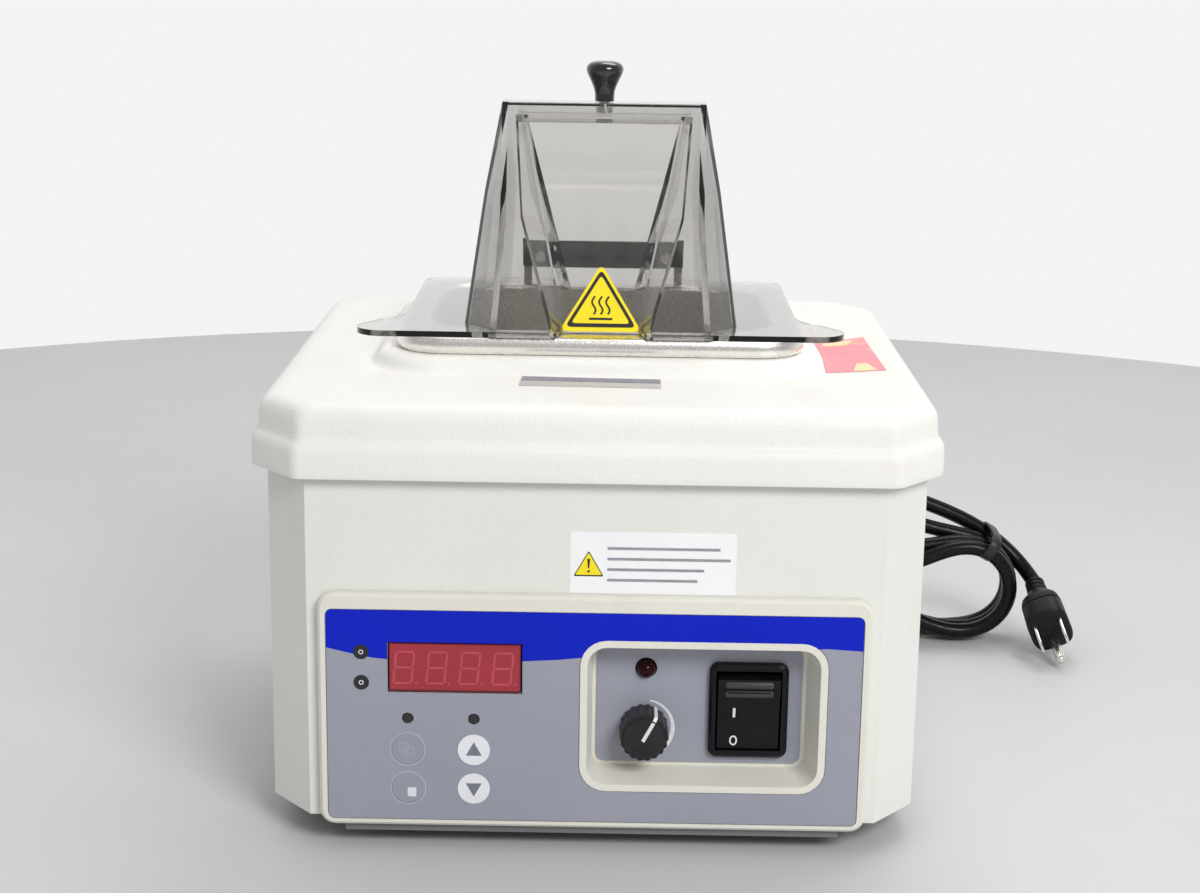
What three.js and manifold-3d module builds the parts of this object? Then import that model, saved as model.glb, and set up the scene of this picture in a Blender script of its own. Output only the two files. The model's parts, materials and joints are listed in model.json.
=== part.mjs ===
// Small laboratory water bath with a hinged gable cover.
// Millimetres, +Z up, +X to the operator's right, front towards -Y.
// The origin is on the bench, below the middle of the case.

import * as THREE from 'three';
import { mergeVertices } from 'three/addons/utils/BufferGeometryUtils.js';
import { ConvexGeometry } from 'three/addons/geometries/ConvexGeometry.js';
import Module from 'manifold-3d';

const wasm = await Module();
wasm.setup();

// ---------------------------------------------------------------- driving dimensions

const GAP = 0.3;

// Case, feet and base plate
const CASE = { width: 256, depth: 250, chamferX: 17, chamferY: 20, bottom: 12.5, top: 156, wall: 2.5 };
const FOOT = { radius: 12, tipRadius: 10, height: 9.4, x: 92, y: 88, recess: 6 };
const BASE = { bottom: 9.7, top: 12.2, lipWidth: 194, lipBottom: 6.6, inset: 6 };

// Moulded top cover, as the distance of each step from the case sides
const COVER = {
  wall: 3, skirtBottom: 150, rimTop: 161, bandBottom: 166, bandTop: 173.5, top: 178, platformTop: 184.2,
  rimOut: 5.8, bandOut: 3, topIn: 5, postRadius: 6, postX: 108, postY: 100,
};

// Stainless tank and what is fixed below it
const TANK = {
  y: 12, width: 141, depth: 112, corner: 22, bottom: 50, floorRadius: 12, wall: 1.2,
  rimWidth: 168, rimDepth: 140, rimCorner: 20, rimBottom: 184.5, rimTop: 191.5, rimWall: 1.6,
};
const TRAY = { width: 112, depth: 83, corner: 12, height: 8, thickness: 1.5, holeRadius: 4, pitch: 17 };
const SENSOR = { x: -44, radius: 2.5, leadRadius: 1.4, bottom: 66, collar: 96, top: 118 };
const HEATER = { width: 104, depth: 74, thickness: 3, clampWidth: 96, clampDepth: 66, clampThickness: 2 };

// Lid: flange with two finger ears, gable hood, knob
const LID = {
  bottom: 191.8, thickness: 2.4, wall: 2.4, sideX: 82, earX: 99.5, earBack: -24, front: -60, back: 78,
  ridgeTop: 281.4, earRadius: 11, corner: 9,
};
const HOOD = {
  centreY: 10,
  ridge: { x: 43.2, y: 7, z: LID.ridgeTop },
  shoulder: { x: 49, y: 30, z: 247 },
  eave: { x: 41.8, y: 48, z: 238.7 },
  footFront: { x: 45, y: 66, z: LID.bottom },
  footSide: { x: 56.4, y: 51, z: LID.bottom },
};
const RECESS = {
  top: { x: 32.8, y: 5.5, z: 273.6 },
  bottom: { x: 14.7, y: 56, z: LID.bottom },
  eaveEdge: { x: 32.6, y: 48, z: 238.7 },
  reach: 95,
};
const KNOB = { height: 17, headRadius: 8, neckRadius: 4.4, screwRadius: 2 };

// Hinge behind the tank
const HINGE = {
  y: 86.5, z: 203, barrel: 3.1, pin: 1.5, leafHalf: 37, barrelHalf: 33, thickness: 2,
  leafBottom: 200, leafTop: 213, screwX: 29, screwZ: 207.5, lugHalf: 2.6, footBack: 106, footScrewX: 24,
  padMargin: 2,
};

// Control panel
const PANEL = {
  front: -129.7, back: -125.3, width: 213, bottom: 10.3, top: 105, corner: 6, inset: 1.1,
  borderSide: 3.1, borderBottom: 2.5, borderTop: 6, fieldCorner: 2.8, filmFront: -129.4, film: 0.4,
};
const POCKET = {
  left: -2, right: 86.8, bottom: 29.4, top: 84.5, corner: 7, collar: 3.3,
  floorLeft: -0.6, floorRight: 83.2, floorBottom: 31.4, floorTop: 82, floorY: -114.6, floorCorner: 5, wall: 2,
};
const DISPLAY = { x: -53.6, z: 75.6, width: 51.4, height: 20, module: 19.4 };
const BUTTON = { radius: 6.4, cap: 2.2, stemRadius: 2.6, stemBack: -117.6 };
const BUTTONS = [
  { name: 'menu_button', x: -71.9, z: 42.2, colour: 0x9aa0a9 },
  { name: 'set_button', x: -71.9, z: 26.1, colour: 0x9aa0a9 },
  { name: 'up_button', x: -46.3, z: 42.2, colour: 0xf2f3f4 },
  { name: 'down_button', x: -46.3, z: 26.1, colour: 0xf2f3f4 },
];
const INDICATORS = [
  { name: 'program_indicator', x: -71.9, z: 54.9, radius: 2 },
  { name: 'heat_indicator', x: -46.3, z: 54.9, radius: 2 },
  { name: 'fahrenheit_indicator', x: -89.7, z: 81.7, radius: 2.7 },
  { name: 'celsius_indicator', x: -89.7, z: 69.3, radius: 2.7 },
];
const SAFETY = { x: 19.8, z: 47.8, knobRadius: 9.6, knobDepth: 13.4, flutes: 18, shaftRadius: 3 };
const LAMP = { x: 20.3, z: 72, radius: 4 };
const ROCKER = { x: 60.6, z: 55.8, width: 31, height: 39, flange: 3, openWidth: 25.6, openHeight: 33, tilt: 9 };

// Power board, standing on the base plate
const POWER = { x: 62, y: -38, width: 84, depth: 62, z: 20 };

// Mains lead: strain relief, lead, hank, tail and plug
const CORD = { radius: 3.8, step: 18 };
const RELIEF = { x: -84, z: 52, y: CASE.depth / 2, length: 34 };
const HANK = { front: 129, back: 159.4, left: -4, right: 216.8, low: 0.1 };
const LEAD_ROUTE = [
  [-84, 159.4, 52], [-84, 166, 52], [-83.5, 176, 49.8], [-81, 187, 43], [-74.5, 195.5, 32], [-63, 198.5, 20.5],
  [-49.5, 193.5, 10.5], [-37.5, 182.5, 5.2], [-27.5, 169, 4.2], [-19, 156, 7], [-11.5, 144.5, 13.8],
  [-8.2, 139.9, 19.2],
];
const TAIL_ROUTE = [[220.4, 149, 34.9], [222.4, 146.6, 32.6], [223.8, 143.9, 30.5], [224, 141.7, 29.6]];
const PLUG = {
  rear: [224, 141.2, 29.4], face: [224, 105.4, 16], roll: 25, halfWidth: 10.4, halfHeight: 12.6, neck: 12,
  blade: 6.35, pin: 11.9,
};

// ---------------------------------------------------------------- solids

function toSolid(geometry) {
  const bare = geometry.clone();
  bare.deleteAttribute('normal');
  bare.deleteAttribute('uv');
  const merged = mergeVertices(bare, 1e-4);
  const vertProperties = new Float32Array(merged.attributes.position.array);
  const triVerts = new Uint32Array(merged.index.array);
  return new wasm.Manifold(new wasm.Mesh({ numProp: 3, vertProperties, triVerts }));
}

function toGeometry(solid) {
  const mesh = solid.getMesh();
  const geometry = new THREE.BufferGeometry();
  geometry.setAttribute('position', new THREE.BufferAttribute(mesh.vertProperties, 3));
  geometry.setIndex(new THREE.BufferAttribute(mesh.triVerts, 1));
  return geometry;
}

function join(...geometries) {
  return toGeometry(geometries.map(toSolid).reduce((sum, solid) => sum.add(solid)));
}

function cut(geometry, ...tools) {
  return toGeometry(tools.map(toSolid).reduce((rest, tool) => rest.subtract(tool), toSolid(geometry)));
}

// ---------------------------------------------------------------- outlines

function polygon(points) {
  return new THREE.Shape(points.map(([x, y]) => new THREE.Vector2(x, y)));
}

function rectangle(x0, y0, x1, y1) {
  return polygon([[x0, y0], [x1, y0], [x1, y1], [x0, y1]]);
}

function roundedBox(x0, y0, x1, y1, r) {
  const shape = new THREE.Shape();
  shape.moveTo(x0 + r, y0);
  shape.lineTo(x1 - r, y0);
  shape.absarc(x1 - r, y0 + r, r, -Math.PI / 2, 0, false);
  shape.lineTo(x1, y1 - r);
  shape.absarc(x1 - r, y1 - r, r, 0, Math.PI / 2, false);
  shape.lineTo(x0 + r, y1);
  shape.absarc(x0 + r, y1 - r, r, Math.PI / 2, Math.PI, false);
  shape.lineTo(x0, y0 + r);
  shape.absarc(x0 + r, y0 + r, r, Math.PI, Math.PI * 1.5, false);
  return shape;
}

function centredBox(width, depth, r, y = 0) {
  return roundedBox(-width / 2, y - depth / 2, width / 2, y + depth / 2, r);
}

function circle(x, y, r) {
  const shape = new THREE.Shape();
  shape.absarc(x, y, r, 0, Math.PI * 2, false);
  return shape;
}

function oval(rx, ry) {
  const shape = new THREE.Shape();
  shape.absellipse(0, 0, rx, ry, 0, Math.PI * 2, false, 0);
  return shape;
}

// The case plan: a rectangle with its four corners cut off, grown outwards by `out`.
function octagon(out) {
  const x = CASE.width / 2 + out;
  const y = CASE.depth / 2 + out;
  const cx = CASE.chamferX + out * 0.4;
  const cy = CASE.chamferY + out * 0.4;
  return polygon([
    [-x + cx, -y], [x - cx, -y], [x, -y + cy], [x, y - cy], [x - cx, y], [-x + cx, y], [-x, y - cy], [-x, -y + cy],
  ]);
}

// ---------------------------------------------------------------- placed pieces

// Upright prism between two heights.
function prismZ(shape, z0, z1, segments = 5) {
  const geometry = new THREE.ExtrudeGeometry(shape, { depth: z1 - z0, bevelEnabled: false, curveSegments: segments });
  return geometry.translate(0, 0, z0);
}

// Prism along Y, its outline drawn in X and Z.
function prismY(shape, y0, y1, segments = 5) {
  const geometry = new THREE.ExtrudeGeometry(shape, { depth: y1 - y0, bevelEnabled: false, curveSegments: segments });
  return geometry.rotateX(Math.PI / 2).translate(0, y1, 0);
}

// Prism along X, its outline drawn in Y and Z.
function prismX(shape, x0, x1, segments = 5) {
  const geometry = new THREE.ExtrudeGeometry(shape, { depth: x1 - x0, bevelEnabled: false, curveSegments: segments });
  const axes = new THREE.Matrix4().makeBasis(
    new THREE.Vector3(0, 1, 0), new THREE.Vector3(0, 0, 1), new THREE.Vector3(1, 0, 0));
  return geometry.applyMatrix4(axes).translate(x0, 0, 0);
}

function block(x0, x1, y0, y1, z0, z1) {
  return prismZ(rectangle(x0, y0, x1, y1), z0, z1);
}

function rodY(x, z, r, y0, y1, sides = 20) {
  return new THREE.CylinderGeometry(r, r, y1 - y0, sides).translate(x, (y0 + y1) / 2, z);
}

function rodZ(x, y, r, z0, z1, sides = 20) {
  return new THREE.CylinderGeometry(r, r, z1 - z0, sides).rotateX(Math.PI / 2).translate(x, y, (z0 + z1) / 2);
}

function rodX(y, z, r, x0, x1, sides = 20) {
  return new THREE.CylinderGeometry(r, r, x1 - x0, sides).rotateZ(Math.PI / 2).translate((x0 + x1) / 2, y, z);
}

// Convex solid through outlines at several heights.
function hullZ(rings, segments = 4) {
  const points = [];
  for (const [shape, z] of rings) {
    for (const p of shape.getPoints(segments)) points.push(new THREE.Vector3(p.x, p.y, z));
  }
  return new ConvexGeometry(points);
}

// Convex solid through outlines in X and Z at several depths.
function hullY(rings, segments = 4) {
  const points = [];
  for (const [shape, y] of rings) {
    for (const p of shape.getPoints(segments)) points.push(new THREE.Vector3(p.x, y, p.y));
  }
  return new ConvexGeometry(points);
}

function turned(profile, sides = 24) {
  return new THREE.LatheGeometry(profile.map(([r, h]) => new THREE.Vector2(r, h)), sides);
}

function tube(route, radius, sides, steps) {
  const curve = new THREE.CatmullRomCurve3(route.map((p) => new THREE.Vector3(...p)), false, 'centripetal');
  const section = [];
  for (let i = 0; i < sides; i += 1) {
    const a = (i / sides) * Math.PI * 2;
    section.push([radius * Math.cos(a), radius * Math.sin(a)]);
  }
  return new THREE.ExtrudeGeometry(polygon(section), { steps, extrudePath: curve });
}

const model = new THREE.Group();

function add(name, geometry, colour, roughness, metalness = 0) {
  const material = new THREE.MeshStandardMaterial({ color: colour, roughness, metalness });
  const mesh = new THREE.Mesh(geometry, material);
  mesh.name = name;
  model.add(mesh);
  return mesh;
}

// ---------------------------------------------------------------- case, base plate and feet

function caseShell() {
  const inner = octagon(-CASE.wall);
  const body = prismZ(octagon(0), CASE.bottom, CASE.top);
  const cavity = prismZ(inner, CASE.bottom - 1, CASE.top - CASE.wall);
  const topOpening = prismZ(octagon(-14), CASE.top - 10, CASE.top + 1);
  const wallY = -CASE.depth / 2;
  const panelWindow = prismY(rectangle(-97, 17, 94, 98), wallY - 1, wallY + 6);
  const cordHole = rodY(RELIEF.x, RELIEF.z, 6.2, CASE.depth / 2 - 6, CASE.depth / 2 + 1);
  return cut(body, cavity, topOpening, panelWindow, cordHole);
}

function basePlate() {
  const plate = prismZ(octagon(-BASE.inset), BASE.bottom, BASE.top);
  const half = BASE.lipWidth / 2;
  const lip = block(-half, half, -CASE.depth / 2 - 1, -CASE.depth / 2 + 12, BASE.lipBottom, BASE.bottom + GAP);
  const slots = [-1, 1].flatMap((side) => [40, 52, 64].map((x) => block(
    side * x - 2.5, side * x + 2.5, 60, 96, BASE.bottom - 1, BASE.top + 1)));
  return cut(join(plate, lip), ...slots);
}

function foot() {
  const { radius, tipRadius, height, recess } = FOOT;
  const body = turned([
    [0, 0], [tipRadius - 1.5, 0], [tipRadius, 1.5], [radius, height], [0, height],
  ], 20).rotateX(Math.PI / 2);
  return cut(body, rodZ(0, 0, 4.2, -1, recess), rodZ(0, 0, 2.3, recess - 1, height + 1));
}

function footScrew() {
  const head = rodZ(0, 0, 3.6, FOOT.recess - 2.6, FOOT.recess - GAP, 16);
  const shank = rodZ(0, 0, 1.9, FOOT.recess - 1, FOOT.height, 12);
  return join(head, shank);
}

add('case_shell', caseShell(), 0xd9d7cf, 0.55);
add('base_plate', basePlate(), 0xcfcdc4, 0.5, 0.3);
for (const [side, x] of [['left', -FOOT.x], ['right', FOOT.x]]) {
  for (const [end, y] of [['front', -FOOT.y], ['rear', FOOT.y]]) {
    add(`foot_${end}_${side}`, foot(), 0x161616, 0.8).position.set(x, y, 0);
    add(`foot_screw_${end}_${side}`, footScrew(), 0xb0b2b4, 0.35, 0.9).position.set(x, y, 0);
  }
}

// ---------------------------------------------------------------- moulded top cover

function platform(out) {
  return centredBox(TANK.rimWidth + out, TANK.rimDepth + out, TANK.rimCorner + out / 2, TANK.y);
}

function topCover() {
  const { wall } = COVER;
  const rim = prismZ(octagon(COVER.rimOut), COVER.skirtBottom, COVER.rimTop);
  const step = hullZ([[octagon(COVER.rimOut), COVER.rimTop], [octagon(COVER.bandOut), COVER.bandBottom]]);
  const band = prismZ(octagon(COVER.bandOut), COVER.bandBottom, COVER.bandTop);
  const shoulder = hullZ([
    [octagon(COVER.bandOut), COVER.bandTop], [octagon(1), COVER.top - 1], [octagon(-COVER.topIn), COVER.top]]);
  const raised = hullZ([[platform(26), COVER.top - 1], [platform(14), 182.6], [platform(7), COVER.platformTop]]);
  const padHalf = HINGE.leafHalf + HINGE.padMargin;
  const padBack = HINGE.footBack + HINGE.padMargin;
  const pad = block(-padHalf, padHalf, TANK.y + TANK.rimDepth / 2, padBack, COVER.top - 1, COVER.platformTop);
  const skirtCavity = prismZ(octagon(COVER.rimOut - wall), COVER.skirtBottom - 1, COVER.rimTop - 1);
  const bandCavity = hullZ([
    [octagon(COVER.bandOut - wall), COVER.rimTop - 2], [octagon(COVER.bandOut - wall), COVER.bandTop - wall],
    [octagon(-COVER.topIn - wall), COVER.top - wall]]);
  const raisedCavity = hullZ([[platform(12), COVER.top - wall - 1], [platform(2), COVER.platformTop - wall]]);
  const shell = cut(join(rim, step, band, shoulder, raised, pad), skirtCavity, bandCavity, raisedCavity);
  const posts = [-1, 1].flatMap((sx) => [-1, 1].map((sy) => rodZ(
    sx * COVER.postX, sy * COVER.postY, COVER.postRadius, CASE.top + GAP, COVER.top - 1, 12)));
  const opening = prismZ(centredBox(TANK.width + 7, TANK.depth + 7, TANK.corner + 2, TANK.y), 150, 200);
  return cut(join(shell, ...posts), opening);
}

add('top_cover', topCover(), 0xe6e3db, 0.6);

// ---------------------------------------------------------------- tank, tray, heater, sensor

function tankPlan(inset, corner = TANK.corner) {
  return centredBox(TANK.width - 2 * inset, TANK.depth - 2 * inset, corner - inset * 0.6, TANK.y);
}

function rimPlan(inset) {
  return centredBox(TANK.rimWidth - 2 * inset, TANK.rimDepth - 2 * inset, TANK.rimCorner - inset, TANK.y);
}

function tank() {
  const { bottom, floorRadius, wall, rimBottom, rimTop, rimWall } = TANK;
  const bowl = (grow, top) => hullZ([
    [tankPlan(floorRadius - grow), bottom + wall - grow],
    [tankPlan(floorRadius * 0.3 - grow), bottom + wall + floorRadius * 0.3 - grow * 0.7],
    [tankPlan(-grow), bottom + wall + floorRadius],
    [tankPlan(-grow), top],
  ]);
  const rim = hullZ([
    [rimPlan(0.8), rimBottom], [rimPlan(0), rimBottom + 1.5], [rimPlan(0), rimTop - 2.6],
    [rimPlan(0.9), rimTop - 0.8], [rimPlan(2.8), rimTop],
  ]);
  const mouth = hullZ([[tankPlan(0), rimTop - 1.2], [tankPlan(-1.6), rimTop + 0.2]]);
  const underRim = prismZ(rimPlan(rimWall), rimBottom - 1, rimTop - rimWall);
  const hollowRim = join(cut(rim, underRim), bowl(wall, rimTop - 0.5));
  return cut(hollowRim, bowl(0, rimTop + 1), mouth);
}

function rimGasket() {
  const outer = prismZ(rimPlan(3.5), COVER.platformTop + GAP, COVER.platformTop + 4);
  return cut(outer, prismZ(rimPlan(8.5), COVER.platformTop - 1, COVER.platformTop + 6));
}

function diffuserTray() {
  const { width, depth, corner, height, thickness, holeRadius, pitch } = TRAY;
  const z = TANK.bottom + TANK.wall + GAP;
  const plan = (inset) => centredBox(width - 2 * inset, depth - 2 * inset, corner - inset, TANK.y);
  const skirt = prismZ(plan(0), z, z + height, 4);
  const below = prismZ(plan(thickness), z - 1, z + height - thickness, 4);
  const holes = [];
  for (let ix = -2.5; ix <= 2.5; ix += 1) {
    for (let iy = -1.5; iy <= 1.5; iy += 1) {
      holes.push(rodZ(ix * pitch, TANK.y + iy * pitch, holeRadius, z, z + height + 1, 10));
    }
  }
  return cut(skirt, below, ...holes);
}

function plateBelowTank(width, depth, top, thickness) {
  return prismZ(centredBox(width, depth, 6, TANK.y), top - thickness, top, 3);
}

function temperatureSensor() {
  const { x, radius, leadRadius, bottom, collar, top } = SENSOR;
  const y = TANK.y - TANK.depth / 2 - TANK.wall - GAP - radius;
  return join(rodZ(x, y, radius, bottom, collar, 12), rodZ(x, y, leadRadius, collar - 1, top, 8));
}

const heaterTop = TANK.bottom - GAP;
const clampTop = heaterTop - HEATER.thickness - GAP;
add('tank', tank(), 0xc9c6c0, 0.22, 1);
add('rim_gasket', rimGasket(), 0x2a2a2a, 0.85);
add('diffuser_tray', diffuserTray(), 0xbdbdbd, 0.35, 1);
add('heater_pad', plateBelowTank(HEATER.width, HEATER.depth, heaterTop, HEATER.thickness), 0xb5522e, 0.7);
add('heater_clamp_plate',
  plateBelowTank(HEATER.clampWidth, HEATER.clampDepth, clampTop, HEATER.clampThickness), 0xaab0b4, 0.4, 0.9);
add('temperature_sensor', temperatureSensor(), 0xb9bcc0, 0.3, 0.9);

// ---------------------------------------------------------------- lid

// Points of the hood: mirrored left to right and front to back about its ridge.
function hoodPoints(corners) {
  const points = [];
  for (const { x, y, z } of corners) {
    for (const sx of [-1, 1]) {
      for (const sy of [-1, 1]) points.push(new THREE.Vector3(sx * x, HOOD.centreY + sy * y, z));
    }
  }
  return points;
}

function hoodHull(inset) {
  const corners = ['ridge', 'shoulder', 'eave', 'footFront', 'footSide'].map((key) => HOOD[key]);
  const inner = corners.map(({ x, y, z }) => ({
    x: x - inset,
    y: y - inset * (z > HOOD.shoulder.z ? 0.45 : 1.1),
    z: z > LID.bottom ? z - inset * 0.75 : z - inset,
  }));
  return new ConvexGeometry(hoodPoints(inner));
}

// Side plane of a recess: half width of the channel at a given distance from the ridge and height.
function recessHalfWidth(y, z) {
  const { top, bottom, eaveEdge } = RECESS;
  const a = new THREE.Vector3(bottom.x - top.x, bottom.y - top.y, bottom.z - top.z);
  const b = new THREE.Vector3(eaveEdge.x - top.x, eaveEdge.y - top.y, eaveEdge.z - top.z);
  const n = a.cross(b);
  return top.x - (n.y * (y - top.y) + n.z * (z - top.z)) / n.x;
}

// Wedge removed from the front or back slope, leaving a flat panel between two pillars.
function recessWedge(side, grow) {
  const { top, bottom, reach } = RECESS;
  const slope = (bottom.y - top.y) / (bottom.z - top.z);
  const below = { y: bottom.y - slope * 6, z: bottom.z - 6 };
  const corners = [top, below, { y: reach, z: below.z }, { y: reach, z: top.z }];
  const points = corners.flatMap(({ y, z }) => [-1, 1].map((sx) => new THREE.Vector3(
    sx * (recessHalfWidth(y, z) + grow),
    HOOD.centreY + side * (y - (y < reach ? grow * 1.1 : 0)),
    z + (z === top.z ? grow : 0))));
  return new ConvexGeometry(points);
}

function flangePlan() {
  const { sideX, earX, earBack, front, back, earRadius: ear, corner } = LID;
  const shape = new THREE.Shape();
  shape.moveTo(-earX + ear, front);
  shape.lineTo(earX - ear, front);
  shape.absarc(earX - ear, front + ear, ear, -Math.PI / 2, Math.PI * 0.25, false);
  shape.lineTo(earX - 8, earBack - 9);
  shape.quadraticCurveTo(sideX, earBack - 3, sideX, earBack + 10);
  shape.lineTo(sideX, back - corner);
  shape.absarc(sideX - corner, back - corner, corner, 0, Math.PI / 2, false);
  shape.lineTo(-sideX + corner, back);
  shape.absarc(-sideX + corner, back - corner, corner, Math.PI / 2, Math.PI, false);
  shape.lineTo(-sideX, earBack + 10);
  shape.quadraticCurveTo(-sideX, earBack - 3, -earX + 8, earBack - 9);
  shape.absarc(-earX + ear, front + ear, ear, Math.PI * 0.75, Math.PI * 1.5, false);
  return shape;
}

function lidHood() {
  const flange = prismZ(flangePlan(), LID.bottom, LID.bottom + LID.thickness, 6);
  const outer = cut(join(flange, hoodHull(0)), recessWedge(-1, 0), recessWedge(1, 0));
  const inner = cut(hoodHull(LID.wall), recessWedge(-1, LID.wall), recessWedge(1, LID.wall));
  const screwHole = rodZ(0, HOOD.centreY, KNOB.screwRadius + GAP, LID.ridgeTop - 8, LID.ridgeTop + 1, 12);
  const leafHoles = [-1, 1].map((side) => leafScrewPlace(leafScrewHole(), side));
  return cut(outer, inner, screwHole, ...leafHoles);
}

function lidKnob() {
  const { height, headRadius, neckRadius } = KNOB;
  const body = turned([
    [0, 0], [neckRadius + 0.8, 0], [neckRadius, 1.5], [neckRadius, 4], [neckRadius + 0.9, 7], [headRadius - 0.9, 9.5],
    [headRadius, 11.2], [headRadius - 0.2, 13], [headRadius - 1.6, 15.3], [headRadius - 4, 16.6], [0, height],
  ]).rotateX(Math.PI / 2);
  return cut(body, rodZ(0, 0, KNOB.screwRadius + GAP, -1, 9, 12));
}

function lidKnobScrew() {
  const headTop = LID.ridgeTop - LID.wall;
  const head = rodZ(0, HOOD.centreY, 3.6, headTop - 2.4, headTop, 16);
  return join(head, rodZ(0, HOOD.centreY, KNOB.screwRadius, headTop - 1, LID.ridgeTop + 8, 12));
}

// ---------------------------------------------------------------- hinge

// The rear pillars' lower face, from the eave down to the flange.
const rearFace = {
  y: HOOD.centreY + HOOD.footFront.y,
  z: LID.bottom,
  lean: (HOOD.footFront.y - HOOD.eave.y) / (HOOD.eave.z - LID.bottom),
};

function rearFaceY(z) {
  return rearFace.y - (z - rearFace.z) * rearFace.lean;
}

function leafScrewPlace(geometry, side) {
  const { screwX, screwZ } = HINGE;
  return geometry.rotateX(Math.atan(rearFace.lean)).translate(side * screwX, rearFaceY(screwZ), screwZ);
}

function leafScrewHole() {
  return rodY(0, 0, 1.8, -5, 7, 12);
}

function leafScrew() {
  const face = HINGE.thickness + GAP;
  return join(rodY(0, 0, 3, face + GAP, face + 2.2, 16), rodY(0, 0, 1.5, -5, face + 1, 12),
    rodY(0, 0, 2.7, -6.2, -4, 6));
}

// A plate on the rear pillars, with a web from its middle back to the knuckle.
function hingeLeaf() {
  const { y, z, barrel, leafHalf, barrelHalf, thickness, leafBottom, leafTop } = HINGE;
  const webLow = z - thickness / 2;
  const webHigh = z + thickness / 2;
  const inner = (height) => rearFaceY(height) + GAP;
  const outer = (height) => inner(height) + thickness;
  const profile = polygon([
    [inner(leafBottom), leafBottom], [outer(leafBottom), leafBottom], [outer(webLow), webLow], [y - 1, webLow],
    [y - 1, webHigh], [outer(webHigh), webHigh], [outer(leafTop), leafTop], [inner(leafTop), leafTop],
  ]);
  const plate = prismX(profile, -leafHalf, leafHalf);
  const lugRoom = [-1, 1].map((s) => block(
    s > 0 ? barrelHalf : -leafHalf - 1, s > 0 ? leafHalf + 1 : -barrelHalf,
    y - barrel - 3, y + 2, webLow - 1, webHigh + 1));
  const knuckle = rodX(y, z, barrel, -barrelHalf, barrelHalf);
  const bore = rodX(y, z, HINGE.pin + GAP, -leafHalf, leafHalf);
  const holes = [-1, 1].map((side) => leafScrewPlace(leafScrewHole(), side));
  return cut(join(cut(plate, ...lugRoom), knuckle), bore, ...holes);
}

// A foot on the cover with a lug at each end that carries the pin.
function hingeBracket() {
  const { y, z, barrel, leafHalf, barrelHalf, thickness, lugHalf, footBack, footScrewX } = HINGE;
  const floor = COVER.platformTop + GAP;
  const base = block(-leafHalf, leafHalf, y - lugHalf, footBack, floor, floor + thickness);
  const lug = (s) => {
    const x0 = s > 0 ? barrelHalf + GAP : -leafHalf;
    const x1 = s > 0 ? leafHalf : -barrelHalf - GAP;
    return [block(x0, x1, y - lugHalf, y + lugHalf, floor, z), rodX(y, z, barrel, x0, x1)];
  };
  const bore = rodX(y, z, HINGE.pin + GAP, -leafHalf - 1, leafHalf + 1);
  const screwHoles = [-1, 1].map((s) => rodZ(s * footScrewX, y + 12, 2, floor - 1, floor + 4, 12));
  return cut(join(base, ...lug(-1), ...lug(1)), bore, ...screwHoles);
}

function bracketScrew() {
  const top = COVER.platformTop + GAP + HINGE.thickness + GAP;
  return join(rodZ(0, 0, 3.2, top, top + 2, 16), rodZ(0, 0, 1.6, COVER.platformTop + GAP, top + 1, 12));
}

add('lid_hood', lidHood(), 0x8f8d88, 0.12);
add('lid_knob', lidKnob(), 0x0d0d0d, 0.12).position.set(0, HOOD.centreY, LID.ridgeTop + GAP);
add('lid_knob_screw', lidKnobScrew(), 0xb8b8b8, 0.3, 1);
add('hinge_leaf', hingeLeaf(), 0x141414, 0.45);
add('hinge_bracket', hingeBracket(), 0xb8b8b8, 0.3, 1);
add('hinge_pin', rodX(HINGE.y, HINGE.z, HINGE.pin, -HINGE.leafHalf, HINGE.leafHalf, 16), 0xb8b8b8, 0.3, 1);
for (const [side, s] of [['left', -1], ['right', 1]]) {
  add(`leaf_screw_${side}`, leafScrewPlace(leafScrew(), s), 0xc4c4c4, 0.3, 1);
  add(`bracket_screw_${side}`, bracketScrew(), 0xc4c4c4, 0.3, 1).position.set(s * HINGE.footScrewX, HINGE.y + 12, 0);
}

// ---------------------------------------------------------------- control panel

function pocketMouth(grow) {
  return roundedBox(POCKET.left - grow, POCKET.bottom - grow, POCKET.right + grow, POCKET.top + grow,
    POCKET.corner + grow);
}

function pocketFloor(grow) {
  return roundedBox(POCKET.floorLeft - grow, POCKET.floorBottom - grow, POCKET.floorRight + grow,
    POCKET.floorTop + grow, POCKET.floorCorner + grow);
}

function panelOutline(inset) {
  const half = PANEL.width / 2 - inset;
  return roundedBox(-half, PANEL.bottom + inset, half, PANEL.top - inset, PANEL.corner - inset);
}

// The sunk field that the film lies in.
function fieldOutline(inset) {
  const half = PANEL.width / 2 - PANEL.borderSide - inset;
  return roundedBox(-half, PANEL.bottom + PANEL.borderBottom + inset, half, PANEL.top - PANEL.borderTop - inset,
    PANEL.fieldCorner - inset);
}

function displayOutline(grow) {
  const { x, z, width, height } = DISPLAY;
  return rectangle(x - width / 2 - grow, z - height / 2 - grow, x + width / 2 + grow, z + height / 2 + grow);
}

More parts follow.
